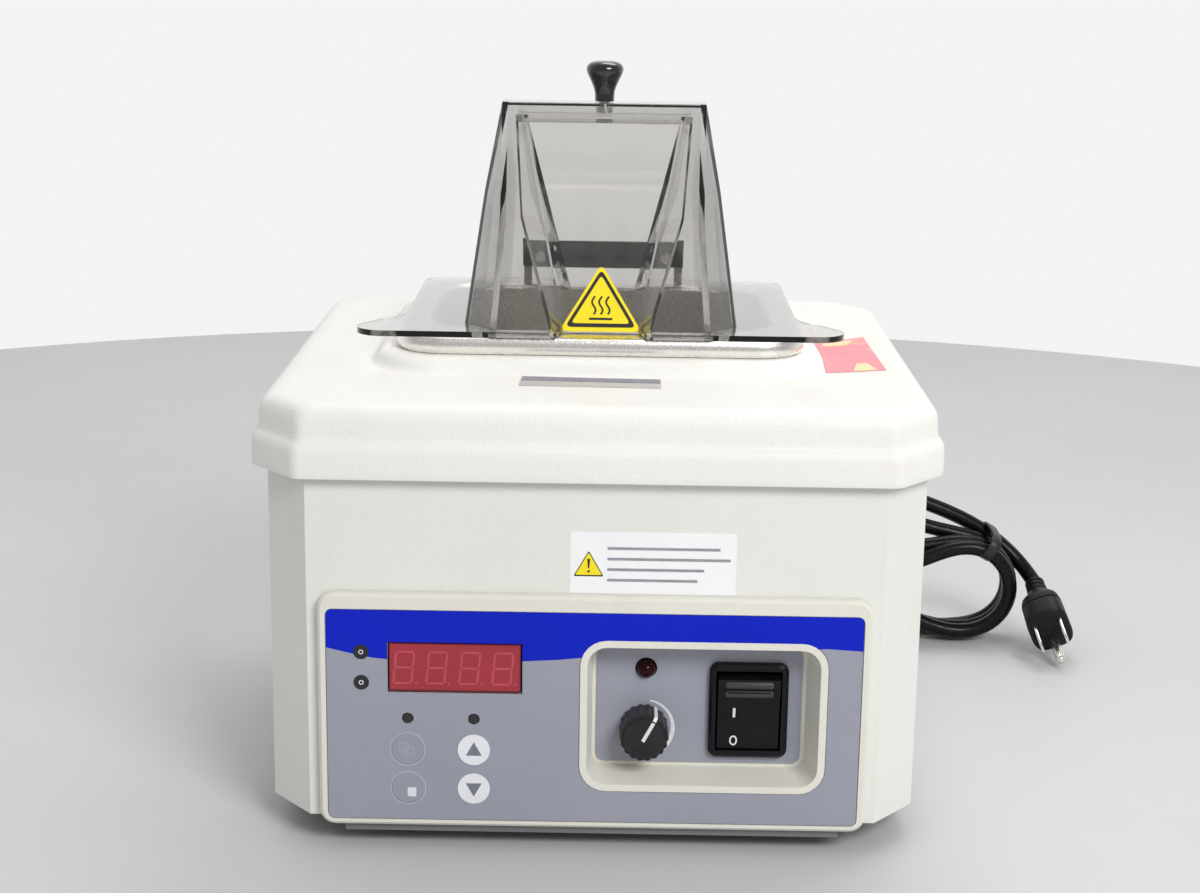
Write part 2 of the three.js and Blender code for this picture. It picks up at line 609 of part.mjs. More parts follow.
function controlBezel() {
  const { front, back, inset } = PANEL;
  const { floorY, wall } = POCKET;
  const frame = hullY([[panelOutline(0), back], [panelOutline(0), front + 1.2], [panelOutline(1.2), front]], 3);
  const field = prismY(fieldOutline(0), front - 1, front + inset, 3);
  const collar = prismY(pocketMouth(POCKET.collar), front, front + 3, 3);
  const pan = hullY([[pocketMouth(wall), front + 1], [pocketFloor(wall), floorY + wall]], 3);
  const hollow = hullY([[pocketMouth(0.6), front - 0.4], [pocketFloor(0), floorY]], 3);
  const through = [
    prismY(displayOutline(GAP), front, back + 1),
    ...BUTTONS.map(({ x, z }) => rodY(x, z, BUTTON.radius + GAP, front, back + 1, 24)),
    ...INDICATORS.map(({ x, z, radius }) => rodY(x, z, radius + GAP, front, back + 1, 14)),
    rodY(SAFETY.x, SAFETY.z, SAFETY.shaftRadius + 0.6, floorY - 1, floorY + wall + 1, 16),
    rodY(LAMP.x, LAMP.z, LAMP.radius + GAP, floorY - 1, floorY + wall + 1, 16),
    prismY(rockerOutline(GAP), floorY - 1, floorY + wall + 1),
  ];
  return cut(join(cut(frame, field), collar, pan), hollow, ...through);
}

function rockerOutline(grow) {
  const { x, z, openWidth, openHeight } = ROCKER;
  const half = openWidth / 2 + 1 + grow;
  return rectangle(x - half, z - openHeight / 2 - 1 - grow, x + half, z + openHeight / 2 + 1 + grow);
}

function panelOverlay() {
  const { filmFront, film } = PANEL;
  const sheet = prismY(fieldOutline(GAP), filmFront, filmFront + film, 3);
  const openings = [
    prismY(displayOutline(GAP), filmFront - 1, filmFront + 1),
    prismY(pocketMouth(POCKET.collar + GAP), filmFront - 1, filmFront + 1, 3),
    ...BUTTONS.map(({ x, z }) => rodY(x, z, BUTTON.radius + GAP, filmFront - 1, filmFront + 1, 24)),
    ...INDICATORS.map(({ x, z, radius }) => rodY(x, z, radius + GAP, filmFront - 1, filmFront + 1, 14)),
  ];
  return cut(sheet, ...openings);
}

function pocketOverlay() {
  const y = POCKET.floorY - GAP - PANEL.film;
  const sheet = prismY(pocketFloor(-1.6), y, y + PANEL.film, 3);
  return cut(sheet,
    rodY(SAFETY.x, SAFETY.z, SAFETY.shaftRadius + 0.6, y - 1, y + 1, 16),
    rodY(LAMP.x, LAMP.z, LAMP.radius + GAP, y - 1, y + 1, 16),
    prismY(rockerOutline(GAP), y - 1, y + 1));
}

function button({ x, z }) {
  const face = PANEL.filmFront - 0.1;
  const { radius, cap, stemRadius, stemBack } = BUTTON;
  return join(rodY(x, z, radius, face, face + cap, 24), rodY(x, z, stemRadius, face + cap - 0.2, stemBack, 12));
}

function indicator({ x, z, radius }) {
  const face = PANEL.filmFront + 0.1;
  return join(rodY(x, z, radius, face, face + 4, 14), rodY(x, z, radius * 0.7, face + 3.5, -115.6, 10));
}

function controlBoard() {
  return cut(block(-94, -14, -115.2, -113.6, 19.5, 90),
    ...[-90, -18].flatMap((x) => [24, 86].map((z) => rodY(x, z, 1.6, -117, -112, 10))));
}

function displayWindow() {
  return prismY(displayOutline(-GAP), PANEL.filmFront + 0.2, PANEL.filmFront + 2);
}

function displayModule() {
  const { x, z, width, module } = DISPLAY;
  const y = PANEL.filmFront + 2 + GAP;
  return block(x - width / 2 + 0.6, x + width / 2 - 0.6, y, -115.6, z - module / 2 + 0.3, z + module / 2 - 0.3);
}

add('control_bezel', controlBezel(), 0xdedcd2, 0.5);
add('panel_overlay', panelOverlay(), 0x8d939c, 0.4);
add('pocket_overlay', pocketOverlay(), 0x8d939c, 0.4);
for (const spec of BUTTONS) add(spec.name, button(spec), spec.colour, 0.45);
for (const spec of INDICATORS) add(spec.name, indicator(spec), 0x101010, 0.3);
add('display_window', displayWindow(), 0xc0303c, 0.15);
add('display_module', displayModule(), 0x7a1218, 0.5);
add('control_board', controlBoard(), 0x1f5a34, 0.6);

// ---------------------------------------------------------------- safety thermostat, lamp and rocker

function safetyKnob() {
  const { knobRadius, knobDepth, flutes, shaftRadius } = SAFETY;
  const outline = [];
  for (let i = 0; i < flutes * 4; i += 1) {
    const a = (i / (flutes * 4)) * Math.PI * 2;
    const r = knobRadius - 0.35 + 0.35 * Math.cos(a * flutes);
    outline.push([r * Math.cos(a), r * Math.sin(a)]);
  }
  const grip = prismY(polygon(outline), 0, knobDepth - 1.2);
  const face = new THREE.CylinderGeometry(knobRadius - 0.8, knobRadius - 1.8, 1.4, 32).translate(0, -0.5, 0);
  const bore = rodY(0, 0, shaftRadius + GAP, 4, knobDepth + 1, 16);
  return cut(join(grip, face), bore);
}

function thermostatShaft() {
  const round = rodY(0, 0, SAFETY.shaftRadius, 0, 16.5, 16);
  const flat = block(-4, 4, -1, 8, SAFETY.shaftRadius - 0.9, SAFETY.shaftRadius + 1);
  return cut(round, flat);
}

function thermostatBody() {
  const { x, z } = SAFETY;
  const back = POCKET.floorY + POCKET.wall + GAP;
  const can = rodY(x, z, 14.5, back + 3.6, back + 20, 24);
  const plate = block(x - 17, x + 17, back, back + 4, z - 10, z + 10);
  const bore = rodY(x, z, SAFETY.shaftRadius + GAP, back - 1, back + 8, 16);
  return cut(join(plate, can), bore);
}

function capillary() {
  const bulb = rodX(TANK.y - 46, TANK.bottom - 4.2, 3, -34, 30, 12);
  const run = tube([
    [SAFETY.x, -91.6, SAFETY.z], [SAFETY.x, -84, SAFETY.z], [26, -76, SAFETY.z + 4], [38, -66, SAFETY.z + 3],
    [47, -54, SAFETY.z], [45, -42, SAFETY.z - 1.4], [37, -34.6, TANK.bottom - 4.2], [27, TANK.y - 46, TANK.bottom - 4.2],
  ], 1.1, 8, 24);
  return join(bulb, run);
}

function safetyLamp() {
  const base = POCKET.floorY - 1;
  const lens = new THREE.SphereGeometry(LAMP.radius - 0.3, 16, 10).translate(LAMP.x, base, LAMP.z);
  return join(lens, rodY(LAMP.x, LAMP.z, LAMP.radius - 0.2, base, POCKET.floorY + 12, 16));
}

function rockerHousing() {
  const { x, z, width, height, flange, openWidth, openHeight } = ROCKER;
  const face = POCKET.floorY - GAP - PANEL.film - GAP;
  const rim = (inset, r) => roundedBox(x - width / 2 + inset, z - height / 2 + inset, x + width / 2 - inset,
    z + height / 2 - inset, r);
  const bezel = hullY([[rim(0, 3.5), face], [rim(0, 3.5), face - flange + 1], [rim(1.2, 3), face - flange]], 3);
  const body = prismY(rockerOutline(0), face - 0.5, face + 22);
  const well = block(x - openWidth / 2, x + openWidth / 2, face - flange - 1, face + 9,
    z - openHeight / 2, z + openHeight / 2);
  const tabs = [-8, 0, 8].map((dz) => block(x - 3, x + 3, face + 21, face + 30, z + dz - 0.4, z + dz + 0.4));
  return cut(join(bezel, body, ...tabs), well);
}

// The paddle's pivot, just below the housing's front face.
const rockerPivot = { y: POCKET.floorY + 1.5, z: ROCKER.z };

function rockerPaddle() {
  const halfX = ROCKER.openWidth / 2 - 0.6;
  const halfZ = ROCKER.openHeight / 2 - 1.2;
  const profile = polygon([
    [-6.6, -halfZ], [-5, 0], [-6.6, halfZ], [1.5, halfZ - 0.6], [4.5, 3], [4.5, -3], [1.5, -halfZ + 0.6],
  ]);
  const paddle = prismX(profile, -halfX, halfX);
  const ribs = [9.5, 12.5].map((z) => block(-halfX + 3.5, halfX - 3.5, -7.1, -5, z - 0.7, z + 0.7));
  return join(paddle, ...ribs);
}

add('thermostat_body', thermostatBody(), 0xb7b9bb, 0.4, 0.8);
add('thermostat_capillary', capillary(), 0xb87a4a, 0.35, 1);
add('thermostat_shaft', thermostatShaft(), 0xb7b9bb, 0.35, 0.9).position.set(
  SAFETY.x, PANEL.front + 5.9, SAFETY.z);
add('safety_knob', safetyKnob(), 0x141414, 0.4).position.set(SAFETY.x, PANEL.front + 1.6, SAFETY.z);
add('safety_lamp', safetyLamp(), 0x4a0408, 0.12);
add('rocker_housing', rockerHousing(), 0x0f0f0f, 0.35);
const paddle = add('rocker_paddle', rockerPaddle(), 0x121212, 0.35);
paddle.position.set(ROCKER.x, rockerPivot.y, rockerPivot.z);
paddle.rotation.x = THREE.MathUtils.degToRad(ROCKER.tilt);

// ---------------------------------------------------------------- power board on the base plate

function powerBoard() {
  const { x, y, width, depth, z } = POWER;
  const board = block(x - width / 2, x + width / 2, y - depth / 2, y + depth / 2, z, z + 1.6);
  const legs = [-1, 1].flatMap((sx) => [-1, 1].map((sy) => rodZ(
    x + sx * (width / 2 - 5), y + sy * (depth / 2 - 5), 3, BASE.top + GAP, z + 1, 10)));
  return join(board, ...legs);
}

function heatSink() {
  const { x, y, z } = POWER;
  const base = block(x + 4, x + 36, y - 24, y - 21.6, z + 2, z + 18);
  const fins = [0, 1, 2, 3, 4].map((i) => block(
    x + 5 + i * 7, x + 6.4 + i * 7, y - 22, y - 12, z + 2, z + 18));
  return join(base, ...fins);
}

const boardTop = POWER.z + 1.6 + GAP;
add('power_board', powerBoard(), 0x1f5a34, 0.6);
add('transformer', block(POWER.x - 36, POWER.x - 6, POWER.y - 16, POWER.y + 12, boardTop, boardTop + 16), 0x2c2c30, 0.5);
add('heat_sink', heatSink(), 0x9da1a5, 0.4, 0.9);
add('terminal_block', block(POWER.x + 6, POWER.x + 38, POWER.y + 10, POWER.y + 24, boardTop, boardTop + 12), 0x2f6b3a, 0.5);

// ---------------------------------------------------------------- mains lead

function strainRelief() {
  const { x, y, z, length } = RELIEF;
  const profile = [
    [0, -6], [5.9, -6], [5.9, 0.3], [8.6, 0.3], [8.6, 3.6], [6.8, 5], [4.6, length], [0, length],
  ];
  return turned(profile, 16).translate(x, y, z);
}

function hankOutline() {
  const { left, right, low } = HANK;
  const shape = new THREE.Shape();
  shape.moveTo(left + 24, low);
  shape.lineTo(right - 60, low);
  shape.quadraticCurveTo(right - 18, low + 2, right - 5, 14);
  shape.quadraticCurveTo(right + 4, 28, right - 4, 42);
  shape.quadraticCurveTo(right - 16, 62, right - 45, 74);
  shape.quadraticCurveTo(right - 78, 87, right - 112, 87.4);
  shape.lineTo(left + 36, 86);
  shape.absarc(left + 36, 50, 36, Math.PI / 2, Math.PI, false);
  shape.lineTo(left, low + 24);
  shape.absarc(left + 24, low + 24, 24, Math.PI, Math.PI * 1.5, false);
  return shape;
}

// Moulded three-pin mains plug, drawn along +Z with its pins forwards.
function plugShape() {
  const { halfWidth, halfHeight, neck, blade, pin } = PLUG;
  const length = new THREE.Vector3(...PLUG.rear).distanceTo(new THREE.Vector3(...PLUG.face));
  const body = hullZ([
    [circle(0, 0, 4.6), 0], [circle(0, 0, 5.4), neck], [oval(halfWidth - 1, halfHeight - 2), neck + 7],
    [oval(halfWidth, halfHeight), length - 8], [oval(halfWidth, halfHeight), length],
  ], 5);
  const blades = [-1, 1].map((s) => block(s * blade - 0.8, s * blade + 0.8, 0.8, 7.2, length - 1, length + 17));
  return join(body, ...blades, rodZ(0, 4 - pin, 2.4, length - 1, length + 20, 12));
}

function plugPose() {
  const rear = new THREE.Vector3(...PLUG.rear);
  const axis = new THREE.Vector3(...PLUG.face).sub(rear).normalize();
  const right = new THREE.Vector3(0, 0, 1).cross(axis).normalize();
  const up = axis.clone().cross(right);
  const roll = THREE.MathUtils.degToRad(PLUG.roll);
  const x = right.clone().multiplyScalar(Math.cos(roll)).addScaledVector(up, Math.sin(roll));
  const y = axis.clone().cross(x);
  return new THREE.Matrix4().makeBasis(x, y, axis).setPosition(rear);
}

function cordSteps(route) {
  const curve = new THREE.CatmullRomCurve3(route.map((p) => new THREE.Vector3(...p)), false, 'centripetal');
  return Math.ceil(curve.getLength() / CORD.step);
}

add('strain_relief', strainRelief(), 0x131313, 0.6);
add('cord_lead', tube(LEAD_ROUTE, CORD.radius, 8, cordSteps(LEAD_ROUTE)), 0x161616, 0.5);
add('cord_hank', prismY(hankOutline(), HANK.front, HANK.back, 4), 0x161616, 0.5);
add('cord_tail', tube(TAIL_ROUTE, CORD.radius, 8, cordSteps(TAIL_ROUTE)), 0x161616, 0.5);
add('power_plug', plugShape().applyMatrix4(plugPose()), 0x141414, 0.5);

export default model;
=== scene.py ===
"""Laboratory water bath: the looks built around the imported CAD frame."""

import json
import math

import bmesh
import bpy
from mathutils import Matrix, Vector
from mathutils.geometry import tessellate_polygon


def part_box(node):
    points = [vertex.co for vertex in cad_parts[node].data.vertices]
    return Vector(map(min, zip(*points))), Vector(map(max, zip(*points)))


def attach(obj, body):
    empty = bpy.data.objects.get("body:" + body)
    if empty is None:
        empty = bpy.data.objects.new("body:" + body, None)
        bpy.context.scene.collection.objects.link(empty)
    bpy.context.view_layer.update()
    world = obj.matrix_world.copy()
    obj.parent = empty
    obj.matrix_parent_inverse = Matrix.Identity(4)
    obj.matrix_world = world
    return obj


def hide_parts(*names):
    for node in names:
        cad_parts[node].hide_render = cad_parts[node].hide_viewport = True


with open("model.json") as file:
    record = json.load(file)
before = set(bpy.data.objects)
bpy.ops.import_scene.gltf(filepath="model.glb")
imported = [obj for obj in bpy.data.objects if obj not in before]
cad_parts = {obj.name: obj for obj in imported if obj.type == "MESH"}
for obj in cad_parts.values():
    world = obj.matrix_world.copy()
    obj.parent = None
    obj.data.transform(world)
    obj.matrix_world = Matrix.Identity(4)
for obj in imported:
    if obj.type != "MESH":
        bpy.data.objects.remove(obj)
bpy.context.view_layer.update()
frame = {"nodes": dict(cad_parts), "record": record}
NODES = frame["nodes"]
SCENE = bpy.context.scene
MM = 0.001

# ---- camera

# Fitted to the photograph: place in metres, angles in degrees, focal length in its pixels.
CAMERA = {"place": (0.0054, -0.8922, 0.3509), "pitch": 13.74, "yaw": -0.33, "roll": 0.84,
          "focal_px": 2097}
IMAGE_WIDTH = 1200
SENSOR_WIDTH = 36.0


def make_camera():
    data = bpy.data.cameras.new("camera")
    data.sensor_width = SENSOR_WIDTH
    data.lens = CAMERA["focal_px"] * SENSOR_WIDTH / IMAGE_WIDTH
    camera = bpy.data.objects.new("camera", data)
    SCENE.collection.objects.link(camera)
    tilt = Matrix.Rotation(math.radians(90 - CAMERA["pitch"]), 4, "X")
    heading = Matrix.Rotation(-math.radians(CAMERA["yaw"]), 4, "Z")
    roll = Matrix.Rotation(math.radians(CAMERA["roll"]), 4, "Z")
    camera.matrix_world = Matrix.Translation(CAMERA["place"]) @ heading @ tilt @ roll
    SCENE.camera = camera


make_camera()


# ---- materials

MATERIALS = {}
NOISE_ROUGHNESS = 0.55
BRUSH_SCALE = 900
BRUSH_DEPTH = 0.00002
# The part of a noise in which spots of soil begin and are full, and the least roughness.
SOIL_SPAN = (0.56, 0.76)
SMOOTHEST = 0.02


def srgb(r, g, b):
    """A colour given as 0 to 255, in linear light."""
    return tuple(((v / 255 + 0.055) / 1.055) ** 2.4 if v > 10 else v / 255 / 12.92
                 for v in (r, g, b))


def fill(node, **values):
    """Sets a node's sockets. An underscore stands for a space in a socket's name."""
    for key, value in values.items():
        node.inputs[key.replace("_", " ")].default_value = value
    return node


class Nodes:
    """A material, kept in MATERIALS, and short calls to add nodes to it.

    Its coordinates are metres in the object's own frame.
    """

    def __init__(self, name):
        self.material = MATERIALS[name] = bpy.data.materials.new(name)
        self.material.use_nodes = True
        self.tree = self.material.node_tree
        self.shader = self.tree.nodes["Principled BSDF"]
        self.place = self.tree.nodes.new("ShaderNodeTexCoord").outputs["Object"]

    def new(self, kind, **settings):
        node = self.tree.nodes.new("ShaderNode" + kind)
        for key, value in settings.items():
            setattr(node, key, value)
        return node

    def link(self, a, b):
        self.tree.links.new(a, b)

    def noise(self, scale, detail, stretch=(1, 1, 1)):
        mapping = fill(self.new("Mapping"), Scale=stretch)
        self.link(self.place, mapping.inputs["Vector"])
        node = fill(self.new("TexNoise"), Scale=scale, Detail=detail, Roughness=NOISE_ROUGHNESS)
        self.link(mapping.outputs[0], node.inputs["Vector"])
        return node.outputs["Fac"]

    def span(self, value, low, high, start=0.3, end=0.7):
        """Stretches a value from start..end, where most of a noise lies, to low..high."""
        node = fill(self.new("MapRange"), From_Min=start, From_Max=end, To_Min=low, To_Max=high)
        self.link(value, node.inputs["Value"])
        return node.outputs["Result"]

    def mix(self, factor, a, b):
        node = self.new("Mix", data_type="RGBA")
        self.link(factor, node.inputs["Factor"])
        for socket, value in ((node.inputs["A"], a), (node.inputs["B"], b)):
            if isinstance(value, tuple):
                socket.default_value = (*value, 1)
            else:
                self.link(value, socket)
        return node.outputs["Result"]

    def bump(self, height, distance):
        node = fill(self.new("Bump"), Strength=1.0, Distance=distance)
        self.link(height, node.inputs["Height"])
        self.drive("Normal", node.outputs["Normal"])

    def drive(self, socket, value):
        self.link(value, self.shader.inputs[socket])


def shade(colour, factor):
    return tuple(min(1.0, c * factor) for c in colour)


def surface(name, colour, rough, spread, patch=18, grain=None, specular=0.5, coat=0.0,
            metal=0.0, rough_spread=0.08, soil=None):
    """A solid surface: colour that varies in soft patches, and uneven gloss.

    grain is the scale and depth of a bump; soil is the colour, scale and share of spots.
    """
    m = Nodes(name)
    patches = m.noise(patch, 4)
    tone = m.mix(m.span(patches, 0, 1), shade(colour, 1 - spread), shade(colour, 1 + spread))
    if soil:
        soil_colour, soil_scale, soil_share = soil
        spots = m.span(m.noise(soil_scale, 5), 0, soil_share, *SOIL_SPAN)
        tone = m.mix(spots, tone, soil_colour)
    m.drive("Base Color", tone)
    gloss = m.noise(patch * 7, 3)
    low, high = max(SMOOTHEST, rough - rough_spread), min(1, rough + rough_spread)
    m.drive("Roughness", m.span(gloss, low, high))
    fill(m.shader, Metallic=metal, Coat_Weight=coat, Specular_IOR_Level=specular)
    if grain:
        scale, depth = grain
        m.bump(m.noise(scale, 2), depth)


def brushed_steel(name, colour, rough, stretch):
    """Metal with fine lines, drawn out by the stretch of their noise along each axis."""
    m = Nodes(name)
    lines = m.noise(BRUSH_SCALE, 3, stretch)
    smear = m.noise(30, 4)
    m.drive("Base Color", m.mix(m.span(smear, 0, 1), shade(colour, 0.93), shade(colour, 1.05)))
    m.drive("Roughness", m.span(lines, max(0.03, rough - 0.07), rough + 0.07))
    fill(m.shader, Metallic=1.0)
    m.bump(lines, BRUSH_DEPTH)


SMOKE_FACE = (0.89, 0.882, 0.87)
SMOKE_SHADOW = (0.95, 0.95, 0.945)
SMOKE_DEPTH = (0.51, 0.5, 0.485)
SMOKE_DENSITY = 86
SMOKE_IOR = 1.22


def clear_smoke(name):
    """Smoke-tinted clear plastic that darkens with depth and lets the lamps through."""
    m = Nodes(name)
    haze = m.noise(30, 4)
    m.drive("Base Color", m.mix(m.span(haze, 0, 1), shade(SMOKE_FACE, 0.985), SMOKE_FACE))
    m.drive("Roughness", m.span(m.noise(120, 3), 0.01, 0.045))
    m.bump(m.noise(16, 2), 0.0002)
    fill(m.shader, IOR=SMOKE_IOR, Transmission_Weight=1.0, Specular_IOR_Level=0.5,
         Coat_Weight=1.0, Coat_Roughness=0.03)
    path = m.new("LightPath")
    through = fill(m.new("BsdfTransparent"), Color=(*SMOKE_SHADOW, 1))
    either = m.new("MixShader")
    m.link(path.outputs["Is Shadow Ray"], either.inputs[0])
    m.link(m.shader.outputs[0], either.inputs[1])
    m.link(through.outputs[0], either.inputs[2])
    out = m.tree.nodes["Material Output"]
    m.link(either.outputs[0], out.inputs["Surface"])
    depth = fill(m.new("VolumeAbsorption"), Color=(*SMOKE_DEPTH, 1), Density=SMOKE_DENSITY)
    m.link(depth.outputs[0], out.inputs["Volume"])


FILM_GREY = srgb(155, 157, 170)
FILM_GRAIN = (1500, 0.00004)
MOULD_GRAIN = (900, 0.0001)
PLAIN_STEEL = (0.6, 0.61, 0.62)
# Name, colour, roughness, spread of tone, scale of patches, grain, specular level, coat.
SURFACES = [
    # The base plate's grey is partly its own paint and partly painted shade for the shadow at the
    # case's foot.
    ("base_paint", srgb(118, 118, 118), 0.5, 0.05, 18, (600, 0.00015)),
    ("rubber_black", (0.012, 0.012, 0.012), 0.7, 0.3, 18, MOULD_GRAIN),
    ("gasket_rubber", (0.03, 0.03, 0.03), 0.75, 0.2, 18, MOULD_GRAIN),
    ("heater_silicone", (0.42, 0.1, 0.04), 0.7, 0.12, 18, (1200, 0.0001)),
    ("knob_gloss", (0.008, 0.008, 0.009), 0.14, 0.3, 60, (90, 0.0001), 0.5, 0.6),
    ("hinge_black", (0.016, 0.016, 0.017), 0.42, 0.3, 18, (700, 0.00012)),
    ("overlay_film", FILM_GREY, 0.38, 0.03, 25, FILM_GRAIN, 0.3),
    ("key_grey", srgb(152, 154, 167), 0.4, 0.03, 60, FILM_GRAIN, 0.3),
    ("key_white", srgb(232, 233, 238), 0.4, 0.03, 60, FILM_GRAIN),
    ("indicator_black", (0.006, 0.006, 0.008), 0.2, 0.3, 200, None, 0.5, 0.4),
    ("display_red", srgb(160, 30, 48), 0.22, 0.1, 50, None, 0.5, 0.3),
    ("module_red", (0.2, 0.01, 0.015), 0.5, 0.2, 18, MOULD_GRAIN),
    ("board_green", (0.02, 0.16, 0.05), 0.4, 0.2, 90, (500, 0.0001)),
    ("knob_black", (0.015, 0.015, 0.016), 0.42, 0.3, 120, (1100, 0.0002), 0.35),
    ("lamp_red", (0.02, 0.001, 0.002), 0.1, 0.3, 150, None, 0.15),
    ("rocker_black", (0.006, 0.006, 0.008), 0.34, 0.3, 90, (1000, 0.00008), 0.2),
    ("transformer_dark", (0.02, 0.02, 0.022), 0.5, 0.3, 18, (700, 0.0001)),
    ("terminal_green", (0.02, 0.2, 0.06), 0.45, 0.15, 18, MOULD_GRAIN),
    ("plug_black", (0.007, 0.007, 0.008), 0.4, 0.3, 90, (900, 0.0002), 0.22),
    ("film_blue", srgb(15, 36, 190), 0.38, 0.05, 25, FILM_GRAIN, 0.12),
    ("print_film", FILM_GREY, 0.38, 0.03, 25, FILM_GRAIN, 0.3),
    ("print_pale", srgb(178, 180, 192), 0.42, 0.04, 150),
    ("shade_red", srgb(92, 18, 34), 0.4, 0.1, 150),
    ("print_white", srgb(226, 227, 232), 0.45, 0.04, 150),
    ("print_grey", srgb(120, 122, 136), 0.45, 0.06, 150),
    ("print_black", (0.012, 0.012, 0.014), 0.4, 0.3, 150),
    ("label_white", srgb(246, 246, 247), 0.42, 0.02, 60),
    ("label_yellow", srgb(250, 228, 20), 0.35, 0.04, 60, None, 0.5, 0.2),
    ("label_rule", srgb(150, 150, 158), 0.5, 0.1, 300),
    ("sticker_cream", srgb(244, 226, 176), 0.5, 0.05, 80),
    ("segment", srgb(190, 74, 92), 0.35, 0.08, 100),
    # Lighter than rocker_black: black plastic with a painted highlight for the light the raised
    # ribs catch.
    ("rib_black", (0.045, 0.045, 0.05), 0.4, 0.2, 120, (1000, 0.0001), 0.4),
    ("tie_black", (0.01, 0.01, 0.01), 0.45, 0.3, 150, (600, 0.0001)),
]
# Name, colour, roughness, and stretch of the lines along each axis.
STEELS = [
    ("screw_steel", (0.62, 0.62, 0.62), 0.25, (1, 1, 6)),
    ("tank_steel", (0.9, 0.87, 0.83), 0.25, (6, 1, 1)),
    ("tray_steel", (0.6, 0.6, 0.59), 0.3, (1, 5, 1)),
    ("clamp_aluminium", PLAIN_STEEL, 0.35, (5, 1, 1)),
    ("sensor_steel", PLAIN_STEEL, 0.25, (1, 1, 5)),
    ("thermostat_steel", PLAIN_STEEL, 0.3, (1, 5, 1)),
    ("copper", (0.75, 0.36, 0.2), 0.3, (1, 4, 1)),
    ("heatsink_aluminium", (0.5, 0.51, 0.52), 0.4, (1, 1, 6)),
    ("strip_silver", (0.72, 0.7, 0.68), 0.38, (8, 1, 1)),
    ("brass_pin", (0.8, 0.78, 0.74), 0.22, (1, 6, 1)),
]

for look in SURFACES:
    surface(*look)
for look in STEELS:
    brushed_steel(*look)
clear_smoke("lid_smoke")
surface("case_paint", srgb(230, 230, 225), 0.46, 0.025, 9, (520, 0.00015),
        soil=(srgb(196, 190, 176), 24, 0.10))
surface("cover_plastic", srgb(239, 237, 232), 0.5, 0.02, 10, (620, 0.0002),
        soil=(srgb(214, 206, 190), 26, 0.12))
surface("bezel_plastic", srgb(228, 226, 215), 0.42, 0.03, 18, (800, 0.0001),
        soil=(srgb(170, 166, 152), 40, 0.15))
surface("sticker_red", srgb(238, 150, 158), 0.5, 0.05, 60, soil=(srgb(244, 214, 170), 70, 0.6))
surface("cord_black", (0.004, 0.004, 0.005), 0.3, 0.35, 60, (260, 0.0001), 0.2, rough_spread=0.1)
surface("strip_blue", srgb(122, 120, 138), 0.34, 0.2, 120, metal=0.3)


def paint(obj, material):
    obj.data.materials.clear()
    obj.data.materials.append(MATERIALS[material])


# ---- mesh helpers

def new_piece(name, mesh, material, body, smooth=None):
    """A finished object: linked, painted, riding its body. smooth is a crease angle."""
    obj = bpy.data.objects.new(name, mesh)
    SCENE.collection.objects.link(obj)
    paint(obj, material)
    if smooth is not None:
        shade_smooth(obj, smooth)
    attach(obj, body)
    return obj


def shade_smooth(obj, angle):
    """Smooth shading with edges sharper than the angle kept crisp."""
    mesh = obj.data
    mesh.shade_smooth()
    bm = bmesh.new()
    bm.from_mesh(mesh)
    limit = math.radians(angle)
    for edge in bm.edges:
        edge.smooth = len(edge.link_faces) == 2 and edge.calc_face_angle(0) < limit
    bm.to_mesh(mesh)
    bm.free()


WELD_GAP = 0.00001
FLAT_ANGLE = 0.6
SHARP_ANGLE = 33


def soften(node, width, segments):
    """Rounds a CAD node's sharp edges with modifiers that leave its mesh as it is."""
    obj = NODES[node]
    weld = obj.modifiers.new("weld", "WELD")
    weld.merge_threshold = WELD_GAP
    planar = obj.modifiers.new("planar", "DECIMATE")
    planar.decimate_type = "DISSOLVE"
    planar.angle_limit = math.radians(FLAT_ANGLE)
    bevel = obj.modifiers.new("bevel", "BEVEL")
    bevel.width = width
    bevel.segments = segments
    bevel.limit_method = "ANGLE"
    bevel.angle_limit = math.radians(SHARP_ANGLE)
    bevel.use_clamp_overlap = True
    obj.data.shade_smooth()
    crease = obj.modifiers.new("normals", "WEIGHTED_NORMAL")
    crease.keep_sharp = True


def mesh_from(name, verts, faces):
    mesh = bpy.data.meshes.new(name)
    mesh.from_pydata([tuple(v) for v in verts], [], faces)
    mesh.validate()
    mesh.update()
    return mesh


def turn_outwards(mesh, join=False):
    """Turns all faces outwards and, where wanted, first joins points that meet."""
    bm = bmesh.new()
    bm.from_mesh(mesh)
    if join:
        bmesh.ops.remove_doubles(bm, verts=bm.verts, dist=1e-6)
    bmesh.ops.recalc_face_normals(bm, faces=bm.faces)
    bm.to_mesh(mesh)
    bm.free()


def loft(name, rings, loop=False):
    """A closed skin over rings of equally many points.

    Both ends are capped, or for a loop the last ring joins the first.
    """
    if loop:
        rings = rings + [rings[0]]
    count = len(rings[0])
    verts = [p for ring in rings for p in ring]
    faces = []
    for low in range(0, len(verts) - count, count):
        high = low + count
        for i in range(count):
            j = (i + 1) % count
            faces.append((low + i, low + j, high + j, high + i))
    if not loop:
        faces.append(tuple(reversed(range(count))))
        faces.append(tuple(range(len(verts) - count, len(verts))))
    mesh = mesh_from(name, verts, faces)
    turn_outwards(mesh, join=loop)
    return mesh


def loft_piece(name, rings, material, body, smooth=None, loop=False):
    return new_piece(name, loft(name, rings, loop), material, body, smooth)


